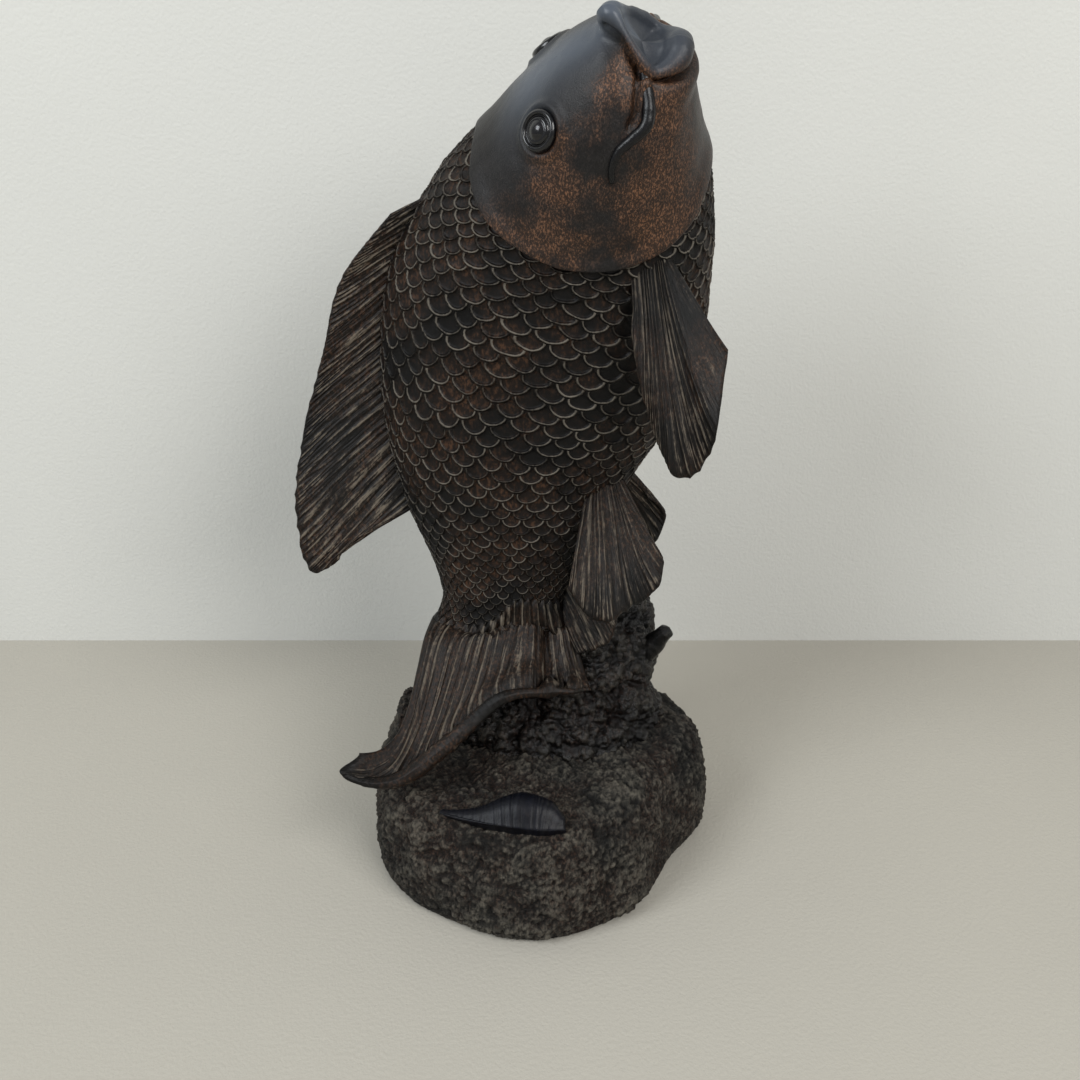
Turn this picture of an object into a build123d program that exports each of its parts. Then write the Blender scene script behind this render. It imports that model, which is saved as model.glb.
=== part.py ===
from build123d import *
from math import cos, sin, pi, radians, degrees
import os

# A cast fish figurine: a carp standing on its tail against a coral column on a rock base.
# Millimetres, +Z up. The origin is the centre of the underside of the base pad.
# The fish's right side faces -Y, its belly +X and its back -X.

# Rock and pad
base_radius = 65.0
rock_height = 42.0
pad_thickness = 1.6
pad_recess = 1.0
pad_inset = 6.0

# Fish
tail_root_height = 82.0
fish_rise = 206.0
body_depth = 101.0
body_thickness = 67.0
back_heading = 174.0
cover_radius = 40.0
cover_proud = 1.3
scale_relief = 0.9

# Mouth
mouth_width = 14.5
mouth_opening = 13.0
mouth_depth = 11.0
mouth_drop = 4.0
upper_lip_thickness = 7.5
lower_lip_thickness = 6.5
lip_corner_thickness = 4.0

# Eyes and barbels
eye_diameter = 12.0
eye_rise = 2.8
eye_socket_depth = 3.0
barbel_root_diameter = 4.2
barbel_tip_diameter = 1.8

# Fins
dorsal_reach = 42.0
pectoral_reach = 60.0
pelvic_reach = 44.0
anal_reach = 32.0
tail_reach = 66.0
fin_root_thickness = 6.5
fin_edge_thickness = 2.4
tail_root_thickness = 22.0
tail_edge_thickness = 3.6
fin_seat = 4.0

# Coral, stones and shell
coral_height = 61.0
coral_radius = 42.0
coral_lump_height = 4.0
coral_seat = 6.0
finger_length = 19.0
finger_diameter = 9.5
stone_height = 27.0
stone_length = 24.0
shell_length = 52.0
shell_width = 14.0
shell_thickness = 8.0

# Support rod
rod_diameter = 5.0
rod_length = 118.0
rod_foot = 12.0
rod_chamfer = 0.5

os.makedirs("parts", exist_ok=True)

# The backbone, from the tail's root to the lips: x, y and z as shares of the fish's rise
backbone_shares = (
    (-0.062, 0.058, 0.000),
    (-0.055, 0.080, 0.150),
    (-0.044, 0.105, 0.360),
    (0.000, 0.107, 0.560),
    (0.047, 0.068, 0.734),
    (0.079, 0.000, 0.857),
    (0.128, -0.105, 0.995),
)

# How far the back, the belly and the flanks stand out along the backbone:
# place, back and belly as shares of half the depth, flank as a share of half the thickness
girth_shares = (
    (0.000, 0.50, 0.48, 0.34),
    (0.062, 0.47, 0.43, 0.38),
    (0.215, 0.73, 0.73, 0.61),
    (0.376, 0.94, 1.00, 0.85),
    (0.537, 1.01, 1.08, 1.00),
    (0.696, 0.82, 0.93, 1.00),
    (0.790, 0.60, 0.77, 0.92),
    (0.860, 0.43, 0.60, 0.78),
    (0.924, 0.28, 0.45, 0.59),
    (0.970, 0.14, 0.34, 0.42),
    (0.986, 0.07, 0.28, 0.34),
)
girth_points = 24
back_narrowing_share = 0.08
skin_step_share = 0.01
body_end_share = 0.88
# The carved scales run round the body in courses, whose free edges are this share of a course high
scale_courses = 13
scale_edge_share = 0.5
head_start_share = 0.64
head_end_share = 0.986
head_rings = 8
cover_place_share = 0.69
cover_shift_share = 0.05

with BuildLine() as backbone_line:
    Spline(*[Vector(*shares) * fish_rise + Vector(0, 0, tail_root_height) for shares in backbone_shares])
backbone = backbone_line.edge()


def blend(rows, place):
    """The values of a table at a place between its rows, on a smooth curve through them."""
    step = 0
    while step < len(rows) - 2 and place > rows[step + 1][0]:
        step += 1
    before, start, end, after = (rows[min(max(step + k, 0), len(rows) - 1)] for k in (-1, 0, 1, 2))
    u = (place - start[0]) / (end[0] - start[0])
    values = []
    for a, b, c, d in zip(before[1:], start[1:], end[1:], after[1:]):
        slope_in = (c - a) / 2
        slope_out = (d - b) / 2
        bend_in = 3 * (c - b) - 2 * slope_in - slope_out
        bend_out = 2 * (b - c) + slope_in + slope_out
        values.append(b + u * (slope_in + u * (bend_in + u * bend_out)))
    return values


def spread_out(count, first=0.0, last=1.0):
    """Evenly spaced values from the first to the last."""
    return [first + (last - first) * k / (count - 1) for k in range(count)]


def body_plane(place):
    """The plane across the fish at a share of its backbone: x to its back, y to its right side."""
    heading = Vector(cos(radians(back_heading)), sin(radians(back_heading)), 0)
    return Plane(origin=backbone @ place, x_dir=heading, z_dir=backbone % place)


def girth_point(place, angle, lift=0.0):
    """A point of the girth in its own plane, the angle measured from the back to the right side."""
    back, belly, flank = blend(girth_shares, place)
    depth = (back if cos(radians(angle)) > 0 else belly) * body_depth / 2 + lift
    width = flank * body_thickness / 2 + lift
    narrow = 1 - back_narrowing_share * cos(radians(angle))
    return depth * cos(radians(angle)), width * narrow * sin(radians(angle))


def skin_point(place, angle, lift=0.0):
    """A point on the fish's skin, lifted off it or, if lift is negative, sunk in it."""
    x, y = girth_point(place, angle, lift)
    return body_plane(place).from_local_coords((x, y, 0))


def skin_plane(place, angle, lift=0.0):
    """A plane on the fish's skin: x towards the lips, z outwards."""
    spot = skin_point(place, angle, lift)
    ahead = skin_point(place + skin_step_share, angle, lift) - spot
    round_it = skin_point(place, angle + degrees(skin_step_share), lift) - spot
    return Plane(origin=spot, x_dir=ahead, z_dir=round_it.cross(ahead))


def skin_ring(places, lift):
    """Points round the fish, each at the next of the places in turn, lifted off its skin."""
    turns = [360 * k / girth_points for k in range(girth_points)]
    return [skin_point(places[k % len(places)], turn, lift) for k, turn in enumerate(turns)]


def flat_triangles(quads):
    """Two flat facets for each loop of four points."""
    faces = []
    for a, b, c, d in quads:
        faces.append(Face(Wire.make_polygon((a, b, c))))
        faces.append(Face(Wire.make_polygon((a, c, d))))
    return faces


def ringed_solid(rings):
    """A solid with flat facets through rings of points, closed over the first and last ring."""
    quads = []
    for near, far in zip(rings, rings[1:]):
        quads += zip(near, near[1:] + near[:1], far[1:] + far[:1], far)
    faces = flat_triangles(quads)
    for ring in (rings[0][::-1], rings[-1]):
        middle = sum(ring, Vector()) / len(ring)
        for a, b in zip(ring, ring[1:] + ring[:1]):
            faces.append(Face(Wire.make_polygon((middle, a, b))))
    return Solid(Shell(faces))


tube_sides = 8


def tapered_tube(points, diameters):
    """A tube through points, with its diameters spread evenly along it; its sections don't twist."""
    with BuildLine() as path_line:
        Spline(*points)
    path = path_line.edge()
    aside = (path % 0).cross(Axis.X.direction)
    with BuildPart() as tube:
        for share, diameter in zip(spread_out(len(diameters)), diameters):
            heading = path % share
            aside = aside - heading * aside.dot(heading)
            with BuildSketch(Plane(origin=path @ share, x_dir=aside, z_dir=heading)):
                RegularPolygon(diameter / 2, tube_sides)
        loft(ruled=True)
    return tube.part


# Along each ray of a fin the blade has these steps; it thins towards the rim by this power
ray_step_shares = (0, 0.30, 0.65, 1)
thinning_power = 1.5
# The bow is 0 at the root and at the tip, and 1 at two thirds of the way
bow_scale = 6.75


def fluted_blade(rays, root_thickness, edge_thickness, flute_share=0.38, rim_share=0.45):
    """A fin's blade: thick along each ray and thin in the flutes between, with flat facets.

    Each ray is its root, its tip and its bow, which is how far it bends aside before the tip.
    """
    sections = []
    for k, (root, tip, bow) in enumerate(rays):
        before = rays[max(k - 1, 0)]
        after = rays[min(k + 1, len(rays) - 1)]
        ray = tip - root
        across = (after[0] - before[0]) + (after[1] - before[1])
        outward = across.cross(ray).normalized()
        ridge = 1 - flute_share * (k % 2)
        swell = rim_share + (1 - rim_share) * sin(pi * k / (len(rays) - 1))
        upper = []
        lower = []
        for share in ray_step_shares:
            thinning = (1 - share) ** thinning_power
            half = (edge_thickness + (root_thickness - edge_thickness) * thinning) / 2 * swell * ridge
            middle = root + ray * share + bow * bow_scale * share ** 2 * (1 - share)
            upper.append(middle + outward * half)
            lower.append(middle - outward * half)
        sections.append((upper, lower))
    upper, lower = sections[0]
    quads = list(zip(upper, upper[1:], lower[1:], lower))
    upper, lower = sections[-1]
    quads += zip(upper[1:], upper, lower, lower[1:])
    for near, far in zip(sections, sections[1:]):
        ring = near[0] + near[1][::-1]
        next_ring = far[0] + far[1][::-1]
        quads += zip(ring, next_ring, next_ring[1:] + next_ring[:1], ring[1:] + ring[:1])
    return Solid(Shell(flat_triangles(quads)))


def body_fin_rays(rows, count, reach, side=1, fold=(1.0, 1.0, 1.0)):
    """Rays that grow from the fish's skin, on its right side or, with side -1, on its left.

    A row is its place in the fin, the root's place and angle on the body, then how far the tip
    lies towards the back, the side and the tail and how far the ray bows to the side, as shares
    of the reach. The fold scales the ways to the back, the side and the tail.
    """
    rays = []
    for spread in spread_out(count):
        place, angle, back, out, tail, bow = blend(rows, spread)
        root = skin_point(place, side * angle, -fin_seat)
        frame = body_plane(place)
        to_back = frame.x_dir * back * fold[0]
        to_side = frame.y_dir * side * out * fold[1]
        to_tail = frame.z_dir * tail * fold[2]
        tip = root + (to_back + to_side - to_tail) * reach
        rays.append((root, tip, frame.y_dir * side * bow * reach))
    return rays


# Head and body

# The gill covers' rear edge is an arc across the fish; ahead of it everything is the head's
cover_plane = Plane(
    origin=backbone @ cover_place_share,
    x_dir=backbone % cover_place_share,
    z_dir=body_plane(cover_place_share).y_dir,
)
with BuildPart() as cover_space:
    with BuildSketch(cover_plane.offset(-body_thickness)):
        with BuildLine():
            rear = CenterArc((cover_radius, cover_radius * cover_shift_share), cover_radius, 90, 180)
            front = cover_radius + body_depth
            Polyline(rear @ 1, (front, (rear @ 1).Y), (front, (rear @ 0).Y), rear @ 0)
        make_face()
    extrude(amount=2 * body_thickness)

# A steel rod, cast in, joins the rock, the coral and the tail stalk
rod_place_share = 0.05
rod_spot = backbone @ rod_place_share
with BuildPart() as support_rod:
    with BuildSketch(Plane((rod_spot.X, rod_spot.Y, rod_foot))):
        Circle(rod_diameter / 2)
    extrude(amount=rod_length)
    chamfer(support_rod.edges(), rod_chamfer)

course_share = body_end_share / scale_courses
rings = [skin_ring((0,), 0)]
for course in range(1, scale_courses):
    low = course_share * (course - scale_edge_share / 2)
    high = course_share * (course + scale_edge_share / 2)
    edge_places = (low, high) if course % 2 else (high, low)
    rings += [skin_ring(edge_places, 0), skin_ring(edge_places, scale_relief)]
rings.append(skin_ring((body_end_share,), 0))
with BuildPart() as fish_body:
    add(ringed_solid(rings))
    add(cover_space.part, mode=Mode.SUBTRACT)
    add(support_rod.part, mode=Mode.SUBTRACT)

# Eyes: a ring round a dome, each in a round socket
eye_place_share = 0.862
eye_angle = 43
eye_ring_share = 0.28
eye_edge_share = 0.30
eye_crest_share = 0.85
eye_arc_steps = 4


def make_eye(side):
    """An eye with its round socket peg, on the fish's right side or, with side -1, on its left."""
    seat = skin_plane(eye_place_share, side * eye_angle, cover_proud)
    radius = eye_diameter / 2
    ring = radius * eye_ring_share
    edge = eye_rise * eye_edge_share
    crest = eye_rise * eye_crest_share
    rim = [
        (radius - ring + ring * cos(pi * t), edge + (crest - edge) * sin(pi * t))
        for t in spread_out(eye_arc_steps)
    ]
    dome = [
        ((radius - 2 * ring) * cos(pi / 2 * t), edge + (eye_rise - edge) * sin(pi / 2 * t))
        for t in spread_out(eye_arc_steps)[1:-1]
    ]
    with BuildPart() as eye:
        with BuildSketch(Plane(origin=seat.origin, x_dir=seat.x_dir, z_dir=-seat.y_dir)):
            with BuildLine():
                peg = [(0, -eye_socket_depth), (radius, -eye_socket_depth)]
                Polyline(*peg, *rim, *dome, (0, eye_rise), close=True)
            make_face()
        revolve(axis=Axis(seat.origin, seat.z_dir))
    return eye.part


eyes = {"right_eye": make_eye(1), "left_eye": make_eye(-1)}

# Mouth: a round pocket under a high upper lip and over a short lower one, which meet on the cheeks
face = body_plane(head_end_share)
mouth = Plane(origin=face.from_local_coords((-mouth_drop, 0, 0)), x_dir=face.x_dir, z_dir=face.z_dir)
upper_rows_share = ((-0.69, 1.04, -0.57), (0.40, 0.86, -0.04), (0.88, 0.44, 0.34), (1.05, 0.00, 0.48))
lower_rows_share = ((-0.69, 1.04, -0.57), (-1.00, 0.74, -0.40), (-1.12, 0.38, -0.22), (-1.16, 0.00, -0.17))


def lip(rows, middle_thickness):
    """A lip: a tube from one corner of the mouth over its middle to the other corner."""
    half = mouth_width / 2
    right = [(x * half, y * half, z * half) for x, y, z in rows]
    left = [(x, -y, z) for x, y, z in reversed(right[:-1])]
    points = [mouth.from_local_coords(point) for point in right + left]
    between = (lip_corner_thickness + middle_thickness) / 2
    rising = [lip_corner_thickness, between, middle_thickness, middle_thickness]
    return tapered_tube(points, rising + rising[::-1])


bowl_steps = 5
bowl_turns = [pi / 2 * t for t in spread_out(bowl_steps)]
bowl_floor = [(mouth_opening / 2 * sin(turn), -mouth_depth * cos(turn)) for turn in bowl_turns]
with BuildPart() as mouth_space:
    with BuildSketch(Plane(origin=mouth.origin, x_dir=mouth.x_dir, z_dir=-mouth.y_dir)):
        with BuildLine():
            Polyline(*bowl_floor, (mouth_opening / 2, mouth_depth), (0, mouth_depth), close=True)
        make_face()
    revolve(axis=Axis(mouth.origin, mouth.z_dir))

with BuildPart() as head:
    places = spread_out(head_rings, head_start_share, head_end_share)
    add(ringed_solid([skin_ring((place,), cover_proud) for place in places]))
    add(cover_space.part, mode=Mode.INTERSECT)
    add(mouth_space.part, mode=Mode.SUBTRACT)
    add(lip(upper_rows_share, upper_lip_thickness))
    add(lip(lower_rows_share, lower_lip_thickness))
    for eye in eyes.values():
        add(eye, mode=Mode.SUBTRACT)

# Barbels: from the corners of the mouth down over the cheeks
# place and angle on the head, how far the middle stands off it as a share of the root's diameter
barbel_path_shares = (
    (0.970, 112, 0.10),
    (0.945, 115, 0.20),
    (0.915, 111, 0.25),
    (0.885, 104, 0.20),
    (0.850, 101, 0.12),
)


def make_barbel(side):
    """A tapering barbel lying on the cheek, on the right side or, with side -1, on the left."""
    points = []
    for place, angle, stand in barbel_path_shares:
        points.append(skin_point(place, side * angle, cover_proud + stand * barbel_root_diameter))
    with BuildPart() as barbel:
        add(tapered_tube(points, spread_out(len(points), barbel_root_diameter, barbel_tip_diameter)))
        add(head.part, mode=Mode.SUBTRACT)
    return barbel.part


barbels = {"right_barbel": make_barbel(1), "left_barbel": make_barbel(-1)}

# Fins: each table runs from one edge of the fin to the other
# place in the fin, root's place and angle on the body, tip's way to back, side and tail, bow
dorsal_rays_shares = (
    (0.00, 0.665, 2, 0.34, 0.10, 0.26, 0.0),
    (0.15, 0.590, 2, 0.47, 0.14, 0.48, 0.0),
    (0.35, 0.500, 2, 0.46, 0.14, 0.65, 0.0),
    (0.55, 0.410, 2, 0.60, 0.14, 0.81, 0.0),
    (0.74, 0.320, 2, 0.78, 0.18, 0.86, 0.02),
    (0.90, 0.250, 2, 0.80, 0.20, 0.90, 0.04),
    (1.00, 0.200, 2, 0.62, 0.18, 0.36, 0.04),
)
pectoral_rays_shares = (
    (0.00, 0.700, 118, -0.13, 0.25, 0.26, 0.03),
    (0.17, 0.705, 121, -0.20, 0.46, 0.46, 0.05),
    (0.33, 0.710, 124, -0.30, 0.62, 0.62, 0.06),
    (0.50, 0.715, 127, -0.42, 0.74, 0.70, 0.07),
    (0.67, 0.720, 130, -0.48, 0.76, 0.64, 0.07),
    (0.83, 0.725, 133, -0.46, 0.69, 0.45, 0.05),
    (1.00, 0.730, 136, -0.38, 0.48, 0.15, 0.03),
)
pelvic_rays_shares = (
    (0.00, 0.262, 138, 0.06, 0.42, 0.68, 0.03),
    (0.17, 0.265, 142, -0.04, 0.47, 0.87, 0.05),
    (0.33, 0.270, 146, -0.16, 0.49, 0.93, 0.06),
    (0.50, 0.275, 150, -0.31, 0.44, 0.87, 0.06),
    (0.67, 0.280, 154, -0.41, 0.35, 0.80, 0.06),
    (0.83, 0.285, 158, -0.45, 0.27, 0.57, 0.05),
    (1.00, 0.290, 162, -0.27, 0.18, 0.36, 0.03),
)
anal_rays_shares = (
    (0.00, 0.185, 180, -0.30, 0.14, 0.42, 0.0),
    (0.30, 0.150, 180, -0.46, 0.22, 0.66, 0.03),
    (0.60, 0.110, 180, -0.52, 0.30, 0.78, 0.04),
    (1.00, 0.060, 180, -0.30, 0.34, 0.56, 0.04),
)
# The tail fin, from its upper edge to its lower edge: place in the fin, the tip's way to back,
# side and tail from the middle of the tail's root, then the bow's way to back, side and tail
tail_rays_shares = (
    (0.00, 0.76, 0.74, 0.46, -0.15, 0.03, 0.20),
    (0.10, 0.70, 0.80, 0.59, -0.12, 0.03, 0.20),
    (0.25, 0.45, 0.78, 0.60, -0.04, 0.02, 0.16),
    (0.42, 0.20, 0.70, 0.42, 0.00, 0.00, 0.12),
    (0.60, -0.06, 0.56, 0.18, 0.00, -0.02, 0.09),
    (0.80, -0.31, 0.46, 0.16, 0.00, -0.04, 0.06),
    (1.00, -0.53, 0.36, 0.18, 0.00, -0.04, 0.05),
)
# The left pectoral fin lies closer along the flank than the right one
right_fold = (1.0, 1.0, 1.0)
left_fold = (0.35, 0.60, 1.20)
dorsal_ray_count = 37
pectoral_ray_count = 21
pelvic_ray_count = 19
anal_ray_count = 13
tail_ray_count = 19
tail_flute_share = 0.24
tail_rim_share = 0.30


def seated_fin(rays):
    """A fluted fin whose root is cut to the fish's surface."""
    with BuildPart() as fin:
        add(fluted_blade(rays, fin_root_thickness, fin_edge_thickness))
        add(fish_body.part, mode=Mode.SUBTRACT)
        add(head.part, mode=Mode.SUBTRACT)
    return fin.part


fins = {
    "dorsal_fin": seated_fin(body_fin_rays(dorsal_rays_shares, dorsal_ray_count, dorsal_reach)),
    "anal_fin": seated_fin(body_fin_rays(anal_rays_shares, anal_ray_count, anal_reach)),
}
for name, side, fold in (("right", 1, right_fold), ("left", -1, left_fold)):
    rays = body_fin_rays(pectoral_rays_shares, pectoral_ray_count, pectoral_reach, side, fold)
    fins[name + "_pectoral_fin"] = seated_fin(rays)
    rays = body_fin_rays(pelvic_rays_shares, pelvic_ray_count, pelvic_reach, side)
    fins[name + "_pelvic_fin"] = seated_fin(rays)


def tail_rays():
    """Rays from across the tail's root, out to the right side and down."""
    frame = body_plane(0)
    back, belly, _ = (share * body_depth / 2 for share in girth_shares[0][1:])
    rays = []
    for spread in spread_out(tail_ray_count):
        row = blend(tail_rays_shares, spread)
        root = frame.from_local_coords((back - (back + belly) * spread, 0, fin_seat))
        tip, bow = (
            (frame.x_dir * to_back + frame.y_dir * to_side - frame.z_dir * to_tail) * tail_reach
            for to_back, to_side, to_tail in (row[:3], row[3:])
        )
        rays.append((root, frame.origin + tip, bow))
    return rays


with BuildPart() as tail_fin:
    thicknesses = (tail_root_thickness, tail_edge_thickness)
    add(fluted_blade(tail_rays(), *thicknesses, tail_flute_share, tail_rim_share))
    # The blade ends flat on the end of the body
    with BuildSketch(body_plane(0)):
        Rectangle(2 * body_depth, 2 * body_thickness)
    extrude(amount=body_thickness, mode=Mode.SUBTRACT)
    add(support_rod.part, mode=Mode.SUBTRACT)

# Rock base and pad

# The rock's footprint, from +X round by +Y, as shares of the base's radius
footprint_shares = (
    (0.98, 1.03, 0.97, 0.91, 0.95, 0.94, 0.97, 0.94)
    + (0.96, 1.00, 1.00, 0.97, 0.99, 0.94, 0.88, 0.84)
)
# How the rock closes in with height: share of its height, of its radius, and its shift to the rear
rock_rings_shares = (
    (0.00, 0.95, 0.00),
    (0.12, 0.99, 0.00),
    (0.38, 1.00, 0.01),
    (0.62, 0.98, 0.02),
    (0.80, 0.96, 0.03),
    (0.93, 0.90, 0.04),
    (1.00, 0.76, 0.06),
)
pad_proud = pad_thickness - pad_recess


def footprint_point(turn, radius):
    """A point of the footprint at a turn in degrees from +X."""
    first = int(turn * len(footprint_shares) // 360)
    past = turn * len(footprint_shares) / 360 - first
    low = footprint_shares[first % len(footprint_shares)]
    high = footprint_shares[(first + 1) % len(footprint_shares)]
    share = low + (high - low) * past
    return radius * share * cos(radians(turn)), radius * share * sin(radians(turn))


def footprint_face(height, radius, shift=0.0):
    """The rock's many-sided outline at a height."""
    with BuildSketch(Plane((0, shift, height))) as outline:
        with BuildLine():
            turns = [360 * k / len(footprint_shares) for k in range(len(footprint_shares))]
            Polyline(*[footprint_point(turn, radius) for turn in turns], close=True)
        make_face()
    return outline.sketch.face()


def rock_point(turn, level):
    """A point on the rock's side at a turn and a share of its height."""
    ring, shift = blend(rock_rings_shares, level)
    x, y = footprint_point(turn, base_radius * ring)
    return Vector(x, y + base_radius * shift, pad_proud + rock_height * level)


with BuildPart() as base_pad:
    add(footprint_face(0, base_radius - pad_inset))
    extrude(amount=pad_thickness)

with BuildPart() as rock_base:
    rings = []
    for level, ring, shift in rock_rings_shares:
        height = pad_proud + rock_height * level
        rings.append(footprint_face(height, base_radius * ring, base_radius * shift))
    loft(sections=rings, ruled=True)
    add(base_pad.part, mode=Mode.SUBTRACT)
    add(support_rod.part, mode=Mode.SUBTRACT)

# Coral column: height, x, y and half-width as shares of its height and radius
coral_rings_shares = (
    (0.00, 0.08, 0.42, 1.00),
    (0.18, 0.10, 0.44, 1.02),
    (0.34, 0.11, 0.48, 0.92),
    (0.54, 0.10, 0.60, 0.96),
    (0.70, 0.13, 0.70, 0.90),
    (0.86, 0.14, 0.76, 0.78),
    (1.00, 0.22, 0.80, 0.52),
)
coral_depth_share = 0.80
coral_lump_rows = 12
coral_points = 44
coral_foot = rock_height - coral_seat


def coral_ring(row):
    """Points round the coral, in turn on a lump and between two."""
    level = row / coral_lump_rows
    x, y, width = blend(coral_rings_shares, level)
    ring = []
    for k in range(coral_points):
        turn = 2 * pi * k / coral_points
        reach = coral_radius * width + coral_lump_height * ((k + row) % 2 - 1 / 2)
        across = coral_radius * x + reach * cos(turn)
        behind = coral_radius * y + reach * coral_depth_share * sin(turn)
        ring.append(Vector(across, behind, coral_foot + coral_height * level))
    return ring


with BuildPart() as coral_column:
    add(ringed_solid([coral_ring(row) for row in range(coral_lump_rows + 1)]))
    add(rock_base.part, mode=Mode.SUBTRACT)
    add(fish_body.part, mode=Mode.SUBTRACT)
    add(tail_fin.part, mode=Mode.SUBTRACT)
    add(support_rod.part, mode=Mode.SUBTRACT)
    for name in ("anal_fin", "left_pelvic_fin"):
        add(fins[name], mode=Mode.SUBTRACT)

# A smooth coral finger on the column's right, x, y and height as shares of its length
finger_spot_shares = (0.92, 0.38, 0.50)
finger_shares = ((-0.35, 0.06, -0.25), (-0.10, 0.00, 0.00), (0.20, -0.08, 0.36), (0.40, -0.20, 0.70))
finger_taper_shares = (0.9, 1.0, 0.85, 0.55)
with BuildPart() as coral_finger:
    across, behind, level = finger_spot_shares
    finger_height = coral_foot + coral_height * level
    finger_foot = Vector(coral_radius * across, coral_radius * behind, finger_height)
    spots = [finger_foot + Vector(x, y, z) * finger_length for x, y, z in finger_shares]
    add(tapered_tube(spots, [finger_diameter * share for share in finger_taper_shares]))
    add(coral_column.part, mode=Mode.SUBTRACT)

# A flat-topped stone behind the tail fin, on the rock's left: its spot on the rock
stone_spot_shares = (-0.69, 0.10, 0.70)
stone_levels_shares = ((0.0, 1.05), (0.45, 1.08), (0.80, 0.96), (1.00, 0.78))
stone_corners_shares = (
    (-0.40, -0.38),
    (0.10, -0.46),
    (0.56, -0.30),
    (0.60, 0.28),
    (0.20, 0.52),
    (-0.34, 0.40),
)
with BuildPart() as stone:
    across, behind, seat_level = stone_spot_shares
    stone_foot = Vector(base_radius * across, base_radius * behind, rock_height * seat_level)
    for level, spread in stone_levels_shares:
        size = stone_length * spread
        with BuildSketch(Plane(stone_foot + Vector(0, 0, stone_height * level))):
            with BuildLine():
                Polyline(*[(x * size, y * size) for x, y in stone_corners_shares], close=True)
            make_face()
    loft(ruled=True)
    add(rock_base.part, mode=Mode.SUBTRACT)
    add(coral_column.part, mode=Mode.SUBTRACT)

# A ribbed shell on the rock's front: the turn of its middle, its level, and its width from end to end
shell_turn = 256.0
shell_level_share = 0.94
shell_slope_share = 0.06
shell_outline_shares = ((0.0, 0.06), (0.3, 0.34), (0.6, 0.95), (0.75, 1.0), (0.9, 0.82), (1.0, 0.35))
shell_bow_share = 0.10
shell_rib_share = 0.15
shell_ribs = 21
with BuildPart() as shell:
    half_turn = degrees(shell_length / base_radius) / 2
    rays = []
    for spread in spread_out(shell_ribs):
        turn = shell_turn + half_turn * (2 * spread - 1)
        foot = rock_point(turn, shell_level_share)
        slope = rock_point(turn, shell_level_share + shell_slope_share) - foot
        reach = shell_width * blend(shell_outline_shares, spread)[0]
        bulge = Vector(foot.X, foot.Y, 0).normalized() * reach * shell_bow_share
        rays.append((foot, foot + slope.normalized() * reach, bulge))
    add(fluted_blade(rays, shell_thickness, shell_thickness / 2, shell_rib_share))
    add(rock_base.part, mode=Mode.SUBTRACT)

# Each piece is written under the name of its node
pieces = {
    "fish_body": fish_body.part,
    "head": head.part,
    **eyes,
    **barbels,
    **fins,
    "tail_fin": tail_fin.part,
    "support_rod": support_rod.part,
    "rock_base": rock_base.part,
    "base_pad": base_pad.part,
    "coral_column": coral_column.part,
    "coral_finger": coral_finger.part,
    "stone": stone.part,
    "shell": shell.part,
}
for name, piece in pieces.items():
    piece.label = name
    export_step(piece, f"parts/{name}.step")
    print(name, round(piece.volume), len(piece.solids()), piece.is_valid)
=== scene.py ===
from math import pi, radians

import bmesh
import bpy
import numpy as np
from bpy.props import FloatProperty, FloatVectorProperty, IntProperty, PointerProperty
from mathutils import Matrix, Vector, noise


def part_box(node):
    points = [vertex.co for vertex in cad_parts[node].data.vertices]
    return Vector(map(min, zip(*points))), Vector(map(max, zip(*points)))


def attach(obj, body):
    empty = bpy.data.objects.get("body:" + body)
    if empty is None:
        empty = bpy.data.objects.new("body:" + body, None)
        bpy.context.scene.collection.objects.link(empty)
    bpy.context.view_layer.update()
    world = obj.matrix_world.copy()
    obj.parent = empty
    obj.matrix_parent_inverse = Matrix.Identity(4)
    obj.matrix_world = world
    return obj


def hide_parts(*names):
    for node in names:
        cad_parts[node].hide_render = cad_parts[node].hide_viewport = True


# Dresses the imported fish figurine. Shapes are worked out in millimetres with the part's own
# numbers, and written to the meshes in metres.

bl_info = {
    "name": "Fish Figurine Dressing",
    "version": (1, 0, 0),
    "blender": (4, 5, 0),
    "location": "3D View > Sidebar > Figurine",
    "description": "Builds the scales, fins, rock and coral of a cast fish figurine on its CAD frame",
    "category": "Object",
}

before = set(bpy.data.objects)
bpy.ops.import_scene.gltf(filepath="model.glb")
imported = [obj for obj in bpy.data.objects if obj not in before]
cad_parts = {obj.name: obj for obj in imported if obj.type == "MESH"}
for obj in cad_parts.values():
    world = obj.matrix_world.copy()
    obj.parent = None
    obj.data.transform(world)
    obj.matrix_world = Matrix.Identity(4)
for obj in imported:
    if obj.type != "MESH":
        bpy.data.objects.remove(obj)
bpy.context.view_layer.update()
BODY = "root"
MM = 0.001
TINY = 1e-9
MERGE_DISTANCE = 1e-6

# The fish's shape: the backbone, the girths along it and the fins' rays, as in the part
RISE = 206.0
ROOT_HEIGHT = 82.0
DEPTH = 101.0
THICKNESS = 67.0
BACK_HEADING = 174.0
BACK_NARROWING = 0.08
COVER_PROUD = 1.3
FIN_SEAT = 4.0
THINNING_POWER = 1.5
# The backbone from the tail: x, y and z as shares of the rise
BACKBONE = (
    (-0.062, 0.058, 0.000),
    (-0.055, 0.080, 0.150),
    (-0.044, 0.105, 0.360),
    (0.000, 0.107, 0.560),
    (0.047, 0.068, 0.734),
    (0.079, 0.000, 0.857),
    (0.128, -0.105, 0.995),
)
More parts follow.
